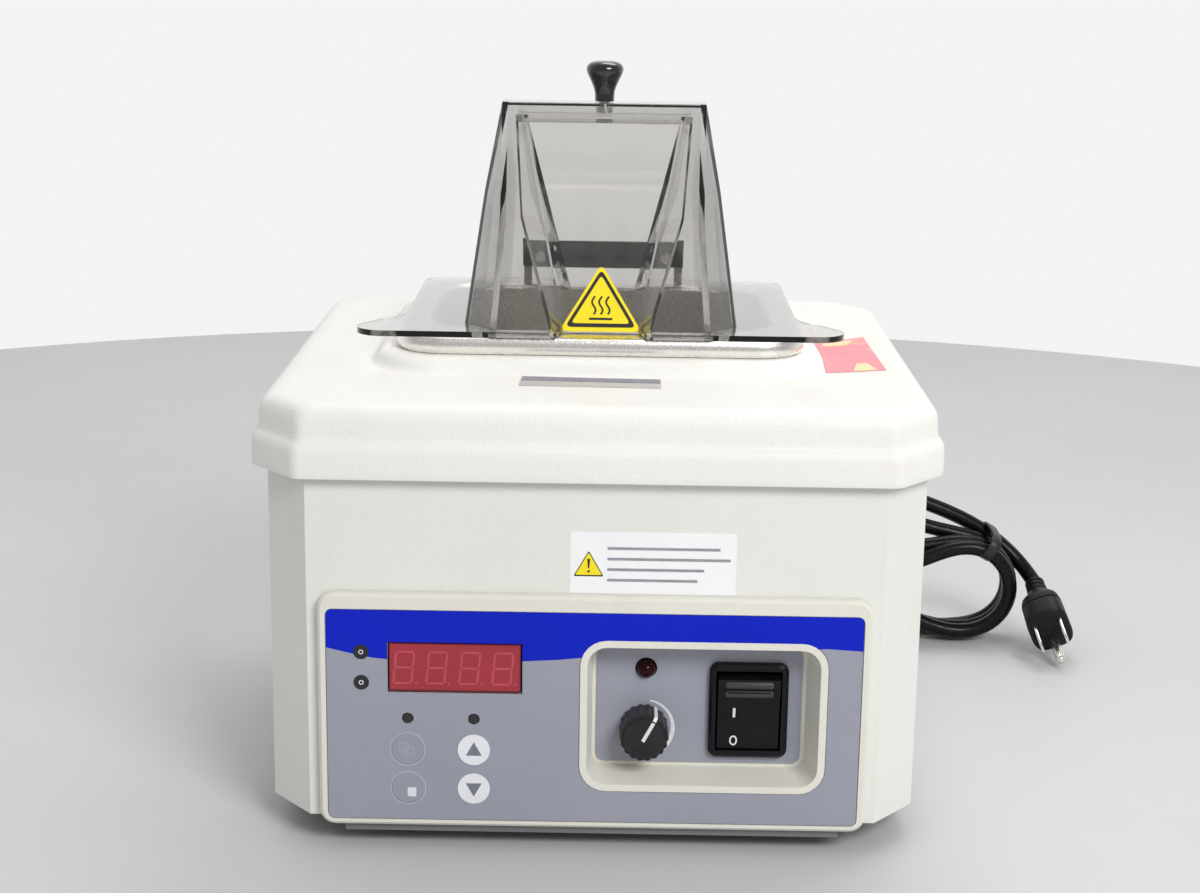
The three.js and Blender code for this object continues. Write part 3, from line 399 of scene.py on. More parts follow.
def plate(name, outline, place, thick, holes=()):
    """A thin flat plate. place(u, v, w) gives the point at u, v and height w on a face."""
    loops = [list(outline)] + [list(h) for h in holes]
    flat = [[Vector((u, v, 0)) for u, v in loop] for loop in loops]
    tris = tessellate_polygon(flat)
    points = [p for loop in loops for p in loop]
    n = len(points)
    verts = [place(u, v, thick) for u, v in points] + [place(u, v, 0) for u, v in points]
    faces = [tuple(t) for t in tris] + [tuple(i + n for i in reversed(t)) for t in tris]
    start = 0
    for loop in loops:
        for i in range(len(loop)):
            a, b = start + i, start + (i + 1) % len(loop)
            faces.append((a, b, b + n, a + n))
        start += len(loop)
    mesh = mesh_from(name, verts, faces)
    turn_outwards(mesh)
    return mesh


def turn(count):
    """The angles of a full turn in equal steps."""
    return [2 * math.pi * k / count for k in range(count)]


def rounded(x0, z0, x1, z1, r, steps):
    """A rectangle with rounded corners."""
    points = []
    centres = (x1 - r, z0 + r), (x1 - r, z1 - r), (x0 + r, z1 - r), (x0 + r, z0 + r)
    for (cx, cz), start in zip(centres, (-90, 0, 90, 180)):
        for k in range(steps + 1):
            a = math.radians(start + 90 * k / steps)
            points.append((cx + r * math.cos(a), cz + r * math.sin(a)))
    return points


def disc(x, z, r, steps, start=0.0, sweep=360.0):
    """A circle, or the arc from start through sweep degrees with both its ends."""
    count = steps if abs(sweep) >= 360 else steps + 1
    angles = [math.radians(start + sweep * k / steps) for k in range(count)]
    return [(x + r * math.cos(a), z + r * math.sin(a)) for a in angles]


def oval(x, z, rx, rz, steps=32):
    return [(x + rx * math.cos(a), z + rz * math.sin(a)) for a in turn(steps)]


def power(value, exponent):
    """A power that keeps the sign: below 1 it makes a circle's coordinates squarer."""
    return math.copysign(abs(value) ** exponent, value)


def soft_corners(corners, radius, steps):
    """An outline through the corners, each rounded off from one side to the next."""
    points = []
    for i, corner in enumerate(corners):
        back = (corners[i - 1] - corner).normalized() * radius
        ahead = (corners[(i + 1) % len(corners)] - corner).normalized() * radius
        for k in range(steps + 1):
            t = k / steps
            points.append(corner + back * (1 - t) ** 2 + ahead * t ** 2)
    return points


def stroke(points, width):
    """The outline of a line of even width through plan points."""
    left, right = [], []
    for i, (x, y) in enumerate(points):
        a = Vector(points[max(i - 1, 0)])
        b = Vector(points[min(i + 1, len(points) - 1)])
        side = (b - a).normalized().orthogonal() * (width / 2)
        left.append((x + side.x, y + side.y))
        right.append((x - side.x, y - side.y))
    return left + list(reversed(right))


# ---- mains cord

CORD_DIAMETER = 0.0076
# The depth in Y of the hank's four strands, in millimetres like all the cord's points.
LANES = (132.4, 140.1, 147.8, 155.5)
# The lead from the strain relief, over the bench and up to the hank.
LEAD = [
    (-84, 159.4, 52), (-84, 166, 52), (-83.5, 176, 49.8), (-81, 187, 43), (-74.5, 195.5, 32),
    (-63, 198.5, 20.5), (-49.5, 193.5, 10.5), (-37.5, 182.5, 5.2), (-27.5, 169, 4.2),
    (-19, 156, 7), (-11.5, 144.5, 13.8), (-5.5, 136, 24.5), (-1.5, 132.8, 37),
]
# Each turn of the hank in X and Z: over the top to the right, round the fold, and back along
# the bottom. The last turn ends at the top, where the tail begins.
TURNS = [
    [
        (7, 54), (26, 69), (54, 73), (86, 70), (110, 53.5), (129, 43), (146, 39), (163, 43),
        (177.5, 49.8), (188, 51.9), (199.4, 48.8), (207.7, 40.3), (210.8, 28.6), (207.7, 16.9),
        (199.2, 8.5), (187, 5.2), (172, 7.6), (157, 14.6), (141, 21), (120, 23.5), (96, 21),
        (70, 15), (46, 11),
    ],
    [
        (22, 16), (7, 36), (11, 60), (34, 75.5), (64, 79), (96, 76.5), (122, 62), (143, 50),
        (165, 48.2), (178, 51.5), (189, 52), (200.6, 48.8), (208.9, 40.3), (211.9, 28.5),
        (208.8, 16.7), (200.2, 8.1), (188, 4.9), (169, 7.4), (149, 14.2), (124, 16), (92, 12),
        (56, 6.5),
    ],
    [
        (28, 12), (7.5, 30), (5.5, 54), (20, 73), (46, 81), (80, 82), (112, 76.5), (141, 67),
        (166, 57.5), (188, 52.8), (200.6, 49.2), (208.9, 40.2), (212.2, 28.4), (209.3, 16.3),
        (200.4, 7.5), (188, 4.2), (162, 4.1), (126, 4.2), (90, 4.2), (58, 4.4),
    ],
    [
        (31, 9), (9, 24), (3.6, 46), (12, 68), (34, 80.5), (64, 83), (96, 83.5), (124, 80),
        (148, 74), (170, 67), (190, 58.5),
    ],
]
# The tail from the hank to the plug.
TAIL = [
    (205, 155.1, 49.2), (215, 152.7, 40.5), (221.3, 148.2, 33.8), (223.7, 143.9, 30.6),
    (224, 141.7, 29.6),
]
CORD_FINE_STEP = 0.002
CORD_STEP = 0.003
CORD_SMOOTHING = 30
CORD_SIDES = 14


def catmull(points, per_span=16):
    """Points on a centripetal curve through the given ones."""
    pts = [2 * points[0] - points[1], *points, 2 * points[-1] - points[-2]]
    out = []
    for i in range(1, len(pts) - 2):
        p = pts[i - 1:i + 3]
        t = [0.0]
        for a, b in zip(p, p[1:]):
            t.append(t[-1] + math.sqrt((b - a).length))
        for k in range(per_span):
            u = t[1] + (t[2] - t[1]) * k / per_span
            level = list(p)
            for depth in (1, 2, 3):
                spans = zip(t, t[depth:]) if depth < 3 else [(t[1], t[2])]
                level = [a.lerp(b, (u - low) / (high - low))
                         for a, b, (low, high) in zip(level, level[1:], spans)]
            out.append(level[0])
    out.append(points[-1])
    return out


def even(points, step):
    """The same path with points an equal step apart."""
    lengths = [0.0]
    for a, b in zip(points, points[1:]):
        lengths.append(lengths[-1] + (b - a).length)
    count = round(lengths[-1] / step)
    out, j = [], 0
    for k in range(count + 1):
        want = lengths[-1] * k / count
        while j < len(lengths) - 2 and lengths[j + 1] < want:
            j += 1
        share = (want - lengths[j]) / (lengths[j + 1] - lengths[j])
        out.append(points[j].lerp(points[j + 1], share))
    return out


def relax(points, rounds):
    """The same path, smoothed, with its ends kept."""
    for _ in range(rounds):
        middle = [(a + b) / 2 for a, b in zip(points, points[2:])]
        inner = [p.lerp(m, 0.5) for p, m in zip(points[1:-1], middle)]
        points = [points[0], *inner, points[-1]]
    return points


def tube_rings(path, radius, sides):
    """The rings of a round tube along a path, carried along without twist."""
    rings = []
    normal = None
    for i, p in enumerate(path):
        along = (path[min(i + 1, len(path) - 1)] - path[max(i - 1, 0)]).normalized()
        if normal is None:
            normal = along.orthogonal().normalized()
        normal = (normal - along * normal.dot(along)).normalized()
        other = along.cross(normal)
        rings.append([p + (normal * math.cos(a) + other * math.sin(a)) * radius
                      for a in turn(sides)])
    return rings


def cord_path():
    points = [Vector(p) * MM for p in LEAD]
    for lane, loop in zip(LANES, TURNS):
        points += [Vector((x, lane, z)) * MM for x, z in loop]
    points += [Vector(p) * MM for p in TAIL]
    return even(relax(even(catmull(points), CORD_FINE_STEP), CORD_SMOOTHING), CORD_STEP)


def make_cord():
    path = cord_path()
    rings = tube_rings(path, CORD_DIAMETER / 2, CORD_SIDES)
    cord = loft_piece("mains_cord", rings, "cord_black", "case", 50)
    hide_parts("cord_lead", "cord_hank", "cord_tail")
    with_pieces = [NODES["strain_relief"], make_tie(), *make_plug()]


# The band's section across the strands is squarer in Y than in height.
TIE = {"centre": (0.1985, 0.144, 0.0508), "lean": -30, "half_y": 0.0166, "half_up": 0.0064,
       "width": 0.0052, "thick": 0.0012, "round": 0.0004, "square_y": 0.55, "square_up": 0.75}
TIE_SIDES = 64


def make_tie():
    """A black band round the four strands where they come together above the fold."""
    lean = math.radians(TIE["lean"])
    along = Vector((math.cos(lean), 0, math.sin(lean)))
    up = Vector((-math.sin(lean), 0, math.cos(lean)))
    centre = Vector(TIE["centre"])
    thick, half = TIE["thick"], TIE["width"] / 2
    edge = half - TIE["round"]
    profile = [(0, -half), (thick * 0.8, -half), (thick, -edge), (thick, edge),
               (thick * 0.8, half), (0, half)]
    rings = []
    for out, forward in profile:
        ring = []
        for a in turn(TIE_SIDES):
            y = power(math.cos(a), TIE["square_y"]) * (TIE["half_y"] + out)
            z = power(math.sin(a), TIE["square_up"]) * (TIE["half_up"] + out)
            ring.append(centre + Vector((0, y, 0)) + up * z + along * forward)
        rings.append(ring)
    return loft_piece("cord_tie", rings, "tie_black", "case", 40, loop=True)


# The middle of the plug's rear and face, in millimetres, and its roll about that line.
PLUG_REAR = (224, 141.2, 29.4)
PLUG_FACE = (226, 105.4, 16)
PLUG_ROLL = 25
# The ribs of its sleeve: where each starts, its radius, and the radius of the groove after it.
PLUG_RIBS = [(0.4, 4.9, 4.4), (3.5, 5, 4.5), (6.6, 5.2, 4.7)]
# The plug's body along that line: distance, half width, half height, power of the outline.
PLUG_RINGS = [(0, 4.5, 4.5, 1)] + [
    (start + along, r, r, 1) for start, rib, groove in PLUG_RIBS
    for along, r in ((0, rib), (1.5, rib), (1.7, groove), (2.9, groove))
] + [
    (9.8, 5.4, 5.5, 0.98), (12.5, 6, 6.4, 0.92), (15.5, 7.4, 8.4, 0.8), (18.5, 8.8, 10.6, 0.68),
    (21, 9.7, 11.9, 0.6), (23.5, 10.1, 12.4, 0.56), (25.5, 10.1, 12.4, 0.56),
    (25.8, 9.6, 11.9, 0.56), (26.8, 9.6, 11.9, 0.56), (27.1, 10.2, 12.5, 0.55),
    (36.6, 10.4, 12.6, 0.54), (37.6, 10.1, 12.3, 0.54), (38.2, 9.4, 11.6, 0.54),
]
# The two blades and the earth pin, in the plug's own millimetres.
BLADE = {"x": 6.35, "low": 0.8, "high": 7.2, "half": 0.75, "length": 15.5, "corner": 0.35,
         "taper": 2, "tip": 0.72}
PIN = {"y": -6.8, "radius": 2.4, "length": 17}
# The pin's rounded end: distance before the tip and share of the radius.
PIN_END = [(2.4, 1), (1.4, 0.9), (0.6, 0.66), (0, 0.2)]
ROOT = 0.5


def plug_frame():
    """A placer for points in the plug's own millimetres: right, up, and out of its face."""
    rear, face = Vector(PLUG_REAR) * MM, Vector(PLUG_FACE) * MM
    axis = (face - rear).normalized()
    right = Vector((0, 0, 1)).cross(axis).normalized()
    up = axis.cross(right)
    roll = math.radians(PLUG_ROLL)
    x = right * math.cos(roll) + up * math.sin(roll)
    y = axis.cross(x)
    return lambda u, v, w: rear + (x * u + y * v + axis * w) * MM


def make_plug():
    """The moulded plug, its two blades and its earth pin."""
    place = plug_frame()

    def plug_piece(name, rings, material, smooth):
        return loft_piece(name, rings, material, "case", smooth)

    rings = [[place(power(math.cos(a), square) * half_w, power(math.sin(a), square) * half_h,
                    along) for a in turn(48)] for along, half_w, half_h, square in PLUG_RINGS]
    body = plug_piece("moulded_plug", rings, "plug_black", 38)
    pieces = [body]
    end = PLUG_RINGS[-1][0]
    root, tip = end - ROOT, end + BLADE["length"]
    for name, side in (("left", -1), ("right", 1)):
        x = side * BLADE["x"]
        outline = rounded(x - BLADE["half"], BLADE["low"], x + BLADE["half"], BLADE["high"],
                          BLADE["corner"], 3)
        middle = Vector((x, (BLADE["low"] + BLADE["high"]) / 2))
        rings = [[place(*(middle + (Vector(p) - middle) * size), along) for p in outline]
                 for along, size in ((root, 1), (tip - BLADE["taper"], 1), (tip, BLADE["tip"]))]
        pieces.append(plug_piece("plug_blade_" + name, rings, "brass_pin", 35))
    tip = end + PIN["length"]
    rings = [[place(u, v, along) for u, v in disc(0, PIN["y"], PIN["radius"] * share, 24)]
             for along, share in [(root, 1)] + [(tip - back, share) for back, share in PIN_END]]
    pieces.append(plug_piece("plug_earth_pin", rings, "brass_pin", 50))
    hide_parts("power_plug")
    return pieces


make_cord()

# ---- shared places

COVER_TOP = 0.178
HOOD_CENTRE_Y = 0.010
# The middle of the hood's front panel, at its top and its foot.
PANEL_TOP = Vector((0, HOOD_CENTRE_Y - 0.0055, 0.2736))
PANEL_BOTTOM = Vector((0, HOOD_CENTRE_Y - 0.056, 0.1918))
PANEL_LEAN = math.atan2(PANEL_TOP.y - PANEL_BOTTOM.y, PANEL_TOP.z - PANEL_BOTTOM.z)
SIGN_FOOT = PANEL_BOTTOM.lerp(PANEL_TOP, 0.006)
ROCKER_TILT = math.radians(9)
ROCKER_PIVOT = Vector((0.0606, -0.1131, 0.0558))
PADDLE_FACE = Matrix.Translation(ROCKER_PIVOT) @ Matrix.Rotation(ROCKER_TILT, 4, "X")
# The paddle's half height and the depths of its hollow front, in millimetres.
PADDLE = {"half": 15.3, "middle_depth": 5.0, "end_depth": 6.6}
# The ribs' places up the paddle, width and half length in millimetres, and height in metres.
RIBS = {"places": (8.9, 13.1), "width": 3.2, "half": 9.6, "height": 0.0013}
# A rib's ends are rounded off: places along its half length, and the share of its section.
RIB_ENDS = [(-1, 0.2), (-0.985, 0.6), (-0.95, 0.9), (-0.9, 1), (0.9, 1), (0.95, 0.9),
            (0.985, 0.6), (1, 0.2)]

# ---- moulded cover and lid knob

COVER_HALF_X = 0.128
COVER_HALF_Y = 0.125
CORNER_X = 0.017
CORNER_Y = 0.020
CORNER_GROWTH = 0.4
TANK_Y = 0.012
ARC = 6
# The cover's skin from the skirt's inside, up over the rim, band and top: distance outwards
# from the case sides, height, corner radius, in millimetres.
COVER_STEPS = [
    (3.1, 150.1, 2), (5.1, 150, 3), (5.6, 150.2, 3), (5.8, 150.9, 3), (5.8, 153.5, 3),
    (5.75, 157, 3), (5.7, 159.6, 3), (5.5, 161.4, 3), (5.0, 162.6, 3), (4.2, 163.4, 3),
    (3.6, 164.1, 3), (3.3, 165, 3), (3.1, 166.4, 3), (3.0, 169, 3), (2.8, 171.6, 3),
    (2.4, 173.6, 4), (1.6, 175.2, 4), (0.4, 176.5, 5), (-1.4, 177.4, 5), (-3.8, 177.9, 6),
    (-7, 178, 7), (-14, 178, 8),
]
# The platform's steps beyond the tank rim, with heights.
PLATFORM_STEPS = [
    (12.5, 178.0), (11.3, 178.2), (10.3, 178.7), (9.4, 179.6), (8.6, 180.7), (7.8, 181.8),
    (6.8, 182.8), (5.5, 183.5), (3.9, 184.0), (2.2, 184.2), (-3, 184.2),
]
# The opening's edge, the ledge under the platform, and the skin's underside.
OPENING = [(0, 184.2), (0, 181.4), (5, 181.2)]
OPENING_HALF_X = 0.074
OPENING_HALF_Y = 0.0595
OPENING_CORNER = 0.024
LEDGE = (6, 176)
UNDERSIDE = [(-9, 175), (-0.5, 172), (0, 164), (0.5, 159.5), (2.8, 158.5), (2.9, 152)]


def octagon_ring(out, z, radius):
    """The case plan grown outwards, with its eight corners softened."""
    grow = out * MM
    x, y = COVER_HALF_X + grow, COVER_HALF_Y + grow
    cx, cy = CORNER_X + grow * CORNER_GROWTH, CORNER_Y + grow * CORNER_GROWTH
    corners = [(x, -y + cy), (x, y - cy), (x - cx, y), (-x + cx, y), (-x, y - cy), (-x, -y + cy),
               (-x + cx, -y), (x - cx, -y)]
    plan = soft_corners([Vector(c) for c in corners], radius * MM, ARC)
    return [Vector((p.x, p.y, z * MM)) for p in plan]


RIM_HALF_X = 0.084
RIM_HALF_Y = 0.070
RIM_CORNER = 0.020


def box_ring(half_x, half_y, radius, z):
    """A rounded rectangle about the tank, its points in number and order as an octagon ring's."""
    ring = []
    for sx, sy, start in ((1, -1, -90), (1, 1, 0), (-1, 1, 90), (-1, -1, 180)):
        centre = Vector((sx * (half_x - radius), TANK_Y + sy * (half_y - radius)))
        count = 2 * (ARC + 1)
        for k in range(count):
            a = math.radians(start + 90 * k / (count - 1))
            x, y = centre.x + radius * math.cos(a), centre.y + radius * math.sin(a)
            ring.append(Vector((x, y, z * MM)))
    shift = ARC + 1
    return ring[shift:] + ring[:shift]


def rim_ring(out, z):
    """A ring at a distance in millimetres beyond the tank's rim."""
    grow = out * MM
    return box_ring(RIM_HALF_X + grow, RIM_HALF_Y + grow, RIM_CORNER + grow, z)


def make_cover():
    """The cover's skin as one loop of rings, over its top and back along its underside."""
    rings = [octagon_ring(*step) for step in COVER_STEPS]
    rings += [rim_ring(*step) for step in PLATFORM_STEPS]
    for out, z in OPENING:
        rings.append(box_ring(OPENING_HALF_X + out * MM, OPENING_HALF_Y + out * MM,
                              OPENING_CORNER, z))
    rings.append(rim_ring(*LEDGE))
    rings += [octagon_ring(out, z, 2) for out, z in UNDERSIDE]
    cover = loft_piece("moulded_cover", rings, "cover_plastic", "case", 42,
                       loop=True)
    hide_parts("top_cover")


PAD = {"half_x": 0.039, "front": 0.080, "back": 0.108, "corner": 0.004}
# The pad's steps beyond its sides, with heights, in millimetres.
PAD_STEPS = [(1.6, 177.4), (1.3, 178.3), (0.5, 179.4), (0, 181), (0, 183.4), (-0.25, 183.95),
             (-0.8, 184.2)]


def make_hinge_pad():
    """The raised pad on the cover that the hinge bracket stands on."""
    rings = []
    for out, z in PAD_STEPS:
        grow = out * MM
        outline = rounded(-PAD["half_x"] - grow, PAD["front"], PAD["half_x"] + grow,
                          PAD["back"] + grow, PAD["corner"] + grow, 8)
        rings.append([Vector((x, y, z * MM)) for x, y in outline])
    loft_piece("moulded_hinge_pad", rings, "cover_plastic", "case", 42)


# The knob's radius and height in millimetres, from its foot up.
KNOB_PROFILE = [
    (3.9, 0), (4.1, 0.2), (4.15, 1.9), (4.25, 3.5), (4.7, 5.5), (5.4, 7.2), (6.1, 8.8),
    (6.9, 10.4), (7.6, 12.0), (7.9, 13.3), (7.65, 14.6), (6.7, 15.8), (5.0, 16.6), (2.6, 16.95),
    (0.4, 17),
]


def make_lid_knob():
    """The turned knob on the ridge, with a bead at its foot."""
    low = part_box("lid_knob")[0]
    centre = Vector((0, HOOD_CENTRE_Y, low.z))
    foot, *bend = [Vector((r, 0, z)) for r, z in KNOB_PROFILE]
    rings = []
    for p in [foot] + catmull(bend, 3):
        reach = p.x * MM
        rings.append([centre + Vector((reach * math.cos(a), reach * math.sin(a), p.z * MM))
                      for a in turn(48)])
    knob = loft_piece("turned_lid_knob", rings, "knob_gloss", "lid", 50)
    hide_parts("lid_knob")


make_cover()
make_hinge_pad()
make_lid_knob()

# ---- CAD nodes: material and softened edges

for subpart in frame["record"]["subparts"]:
    paint(NODES[subpart["node"]], subpart["material_slot"])

# The widths in metres of the rounded edges of the larger CAD nodes. The others get a fine
# chamfer, and those that a moulded or turned piece replaces get none.
EDGES = {
    0.0016: "case_shell",
    0.0012: "lid_hood",
    0.0006: "control_bezel transformer",
    0.0005: "rocker_housing rocker_paddle terminal_block",
    0.0004: "base_plate hinge_leaf hinge_bracket heater_pad",
    0.0003: "safety_knob tank heater_clamp_plate",
    0.0002: "display_window menu_button set_button up_button down_button power_board "
            "control_board heat_sink",
    0.0001: "panel_overlay pocket_overlay",
}
EDGE_OF = {node: width for width, nodes in EDGES.items() for node in nodes.split()}
FINE_EDGE = 0.00012
REPLACED = ("top_cover", "lid_knob", "cord_lead", "cord_hank", "cord_tail", "power_plug")
for node in NODES:
    if node not in REPLACED:
        soften(node, EDGE_OF.get(node, FINE_EDGE), 3 if node in EDGE_OF else 1)

# ---- printed and stuck-on details

FILM_LOW, FILM_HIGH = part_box("panel_overlay")
# Thickness in metres of a print, of a paper label and of the sign on the lid.
PRINT = 0.00005
LABEL = 0.00012
SIGN = 0.00015
KEY_RADIUS = 6.4
# The blue print's lower edge in X and Z, in millimetres.
WAVE = [
    (-103.1, 83.3), (-93.2, 81.0), (-85.7, 79.5), (-79.5, 78.9), (-28, 78.9), (-13.2, 79.8),
    (-5.6, 80.7), (25, 82.6), (60, 84.5), (89.5, 85.9), (103.1, 85.1),
]
# The pocket's edges, corner radius and raised collar, in millimetres.
POCKET = {"left": -2, "right": 86.8, "top": 84.5, "corner": 7, "collar": 1.6}


def on_face(y):
    """A placer for plates on a surface that faces the front, at depth y in metres."""
    return lambda u, v, w: Vector((u * MM, y - w, v * MM))


def front_of(node):
    """A placer on a CAD node's front."""
    return on_face(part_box(node)[0].y)


def print_on(name, outline, face, material, body="case", holes=(),
             thick=PRINT):
    new_piece(name, plate(name, outline, face, thick, holes), material, body)


def wave(x):
    """Height of the blue print's lower edge, in millimetres."""
    for (x0, z0), (x1, z1) in zip(WAVE, WAVE[1:]):
        if x <= x1:
            break
    return z0 + (z1 - z0) * (x - x0) / (x1 - x0)


def wave_between(x0, x1, steps):
    places = [x0 + (x1 - x0) * k / steps for k in range(steps + 1)]
    return [(x, wave(x)) for x in places]


def blue_print():
    """The blue field, from the film's top down to the wave, round the display and the pocket."""
    left, right, top = FILM_LOW.x / MM, FILM_HIGH.x / MM, FILM_HIGH.z / MM
    corner, gap = 2.2, 0.6
    window_low, window_high = (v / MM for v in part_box("display_window"))
    window_left, window_right = window_low.x - gap, window_high.x + gap
    window_top = window_high.z + gap
    centre_left = POCKET["left"] + POCKET["corner"]
    centre_right = POCKET["right"] - POCKET["corner"]
    centre_z = POCKET["top"] - POCKET["corner"]
    r = POCKET["corner"] + POCKET["collar"]
    outline = disc(left + corner, top - corner, corner, 6, 180, -90)
    outline += disc(right - corner, top - corner, corner, 6, 90, -90)
    outline += wave_between(right, POCKET["right"], 6)
    outline += disc(centre_right, centre_z, r, 4, 68, 22)
    outline += disc(centre_left, centre_z, r, 8, 90, 65)
    outline += wave_between(POCKET["left"] - POCKET["collar"], window_right, 12)
    outline += [(window_right, window_top), (window_left, window_top)]
    outline += wave_between(window_left, left, 14)
    print_on("blue_field", outline, front_of("panel_overlay"), "film_blue")


def centre_of(node):
    low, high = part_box(node)
    middle = (low + high) / 2
    return middle.x / MM, middle.z / MM


# Each key's node, and the outer radius and material of the print over the gap round it.
KEY_RINGS = [("menu_button", 6.95, "print_pale"), ("set_button", 6.95, "print_pale"),
             ("up_button", 7.0, "print_film"), ("down_button", 7.0, "print_film")]


def key_prints():
    """A ring of print over the gap round each key, and each key's mark."""
    for node, outer, material in KEY_RINGS:
        x, z = centre_of(node)
        print_on(node + "_ring", disc(x, z, outer, 64), front_of("panel_overlay"), material,
                 holes=[disc(x, z, KEY_RADIUS + 0.03, 64)])
    x, z = centre_of("menu_button")
    for k, (dx, dz) in enumerate(((-1.7, 1.0), (0.5, -1.0))):
        box, inner = (rounded(x + dx - w, z + dz - h, x + dx + w, z + dz + h, r, 3)
                      for w, h, r in ((1.9, 1.7, 0.5), (1.65, 1.45, 0.3)))
        print_on("menu_mark_%d" % k, box, front_of("menu_button"), "print_pale", "menu_key",
                 [inner], PRINT * (1 + k * 0.5))
    x, z = centre_of("set_button")
    print_on("set_mark", rounded(x - 0.2, z - 3.6, x + 3.2, z + 0.2, 0.4, 3),
             front_of("set_button"), "print_white", "set_key")
    for key, up in (("up", 1), ("down", -1)):
        node = key + "_button"
        x, z = centre_of(node)
        base = z - up * 2.3
        print_on(node + "_arrow", [(x, z + up * 3.3), (x - 3.1, base), (x + 3.1, base)],
                 front_of(node), "print_grey", key + "_key")


# A digit's pitch, size and bar width in millimetres, its lean, how far bars stop short of the
# corners and taper, in bar widths, and its point. Each bar in SEGMENTS runs between two places
# given in half widths and half heights.
DIGIT = {"pitch": 12.7, "width": 7.0, "height": 12.7, "lean": 0.1, "bar": 0.75, "inset": 0.62,
         "tip": 0.6, "shift": -0.6, "point_gap": 1.3, "point": 0.5}
SEGMENTS = {
    "top": ((-1, 1), (1, 1)), "middle": ((-1, 0), (1, 0)), "bottom": ((-1, -1), (1, -1)),
    "upper_left": ((-1, 1), (-1, 0)), "upper_right": ((1, 1), (1, 0)),
    "lower_left": ((-1, 0), (-1, -1)), "lower_right": ((1, 0), (1, -1)),
}
# Width in millimetres of the painted shade round the display window's edges.
SHADE_EDGE = 0.45


def display_digits():
    """Four unlit seven-segment digits, each with its point, and painted shade round the red
    window's edges.
    """
    low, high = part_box("display_window")
    face = front_of("display_window")
    middle = (low + high) / 2
    half_width, half_height, bar = DIGIT["width"] / 2, DIGIT["height"] / 2, DIGIT["bar"]
    z = middle.z / MM
    for k in range(4):
        x = middle.x / MM + (k - 1.5) * DIGIT["pitch"] + DIGIT["shift"]
        for label, ends in SEGMENTS.items():
            a, b = (Vector((u * half_width, v * half_height)) for u, v in ends)
            along = (b - a).normalized()
            a, b = a + along * (bar * DIGIT["inset"]), b - along * (bar * DIGIT["inset"])
            side = along.orthogonal() * (bar / 2)
            tip = along * (bar / 2) * DIGIT["tip"]
            points = [a - tip, a + side, b + side, b + tip, b - side, a - side]
            outline = [(x + p.x + p.y * DIGIT["lean"], z + p.y) for p in points]
            print_on("digit_%d_%s" % (k, label), outline, face, "segment")
        point_x = x + half_width + DIGIT["point_gap"]
        print_on("digit_%d_point" % k, disc(point_x, z - half_height, DIGIT["point"], 12), face,
                 "segment")
    x0, z0, x1, z1 = (v / MM for v in (low.x, low.z, high.x, high.z))
    left, right = x0 + SHADE_EDGE, x1 - SHADE_EDGE
    foot, top = z0 + SHADE_EDGE * 1.6, z1 - SHADE_EDGE * 0.6
    # Painted shade: a darker red band round the window's edges, widest at its foot.
    print_on("display_shade", [(x0, z0), (x1, z0), (x1, z1), (x0, z1)], face, "shade_red",
             holes=[[(left, foot), (right, foot), (right, top), (left, top)]])


def triangle(x, z, width, height, r):
    """A triangle with rounded corners, standing on its base at z."""
    corners = [Vector((x - width / 2, z)), Vector((x + width / 2, z)), Vector((x, z + height))]
    return soft_corners(corners, r, 4)


def case_label():
    """The white label above the panel: a plain sign and four blank rules."""
    face_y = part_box("case_shell")[0].y

    def mark(name, outline, material, layer=0):
        """A print on the label. layer counts the prints below it."""
        print_on(name, outline, on_face(face_y - LABEL - layer * PRINT), material)

    print_on("front_label", rounded(-9.8, 105.4, 53.6, 129.9, 0.5, 3), on_face(face_y),
             "label_white", thick=LABEL)
    mark("label_sign_edge", triangle(-2.7, 112.2, 11.6, 10.2, 0.8), "print_black")
    mark("label_sign", triangle(-2.7, 112.75, 10.2, 8.9, 0.6), "label_yellow", 1)
    mark("label_sign_stroke", [(-3.25, 119.2), (-2.15, 119.2), (-2.45, 115.4), (-2.95, 115.4)],
         "print_black", 2)
    mark("label_sign_dot", disc(-2.7, 114.2, 0.5, 12), "print_black", 2)
    for k, right in enumerate((47.5, 51.5, 41.5, 39.0)):
        z = 123.4 - k * 4.2
        mark("label_rule_%d" % k, rounded(4.4, z - 0.55, right, z + 0.55, 0.3, 2), "label_rule")


def cover_height(x, y):
    """Height of the cover's skin, in metres, at a place given in millimetres."""
    beside = max(abs(x) - (RIM_HALF_X - RIM_CORNER) / MM, 0)
    before = max(abs(y - TANK_Y / MM) - (RIM_HALF_Y - RIM_CORNER) / MM, 0)
    out = math.hypot(beside, before) - RIM_CORNER / MM
    if out >= PLATFORM_STEPS[0][0]:
        return COVER_TOP
    for (out0, z0), (out1, z1) in zip(PLATFORM_STEPS, PLATFORM_STEPS[1:]):
        if out >= out1:
            return (z0 + (z1 - z0) * (out0 - out) / (out0 - out1)) * MM
    return PLATFORM_STEPS[-1][1] * MM


DRAPE_THICK = 0.0001


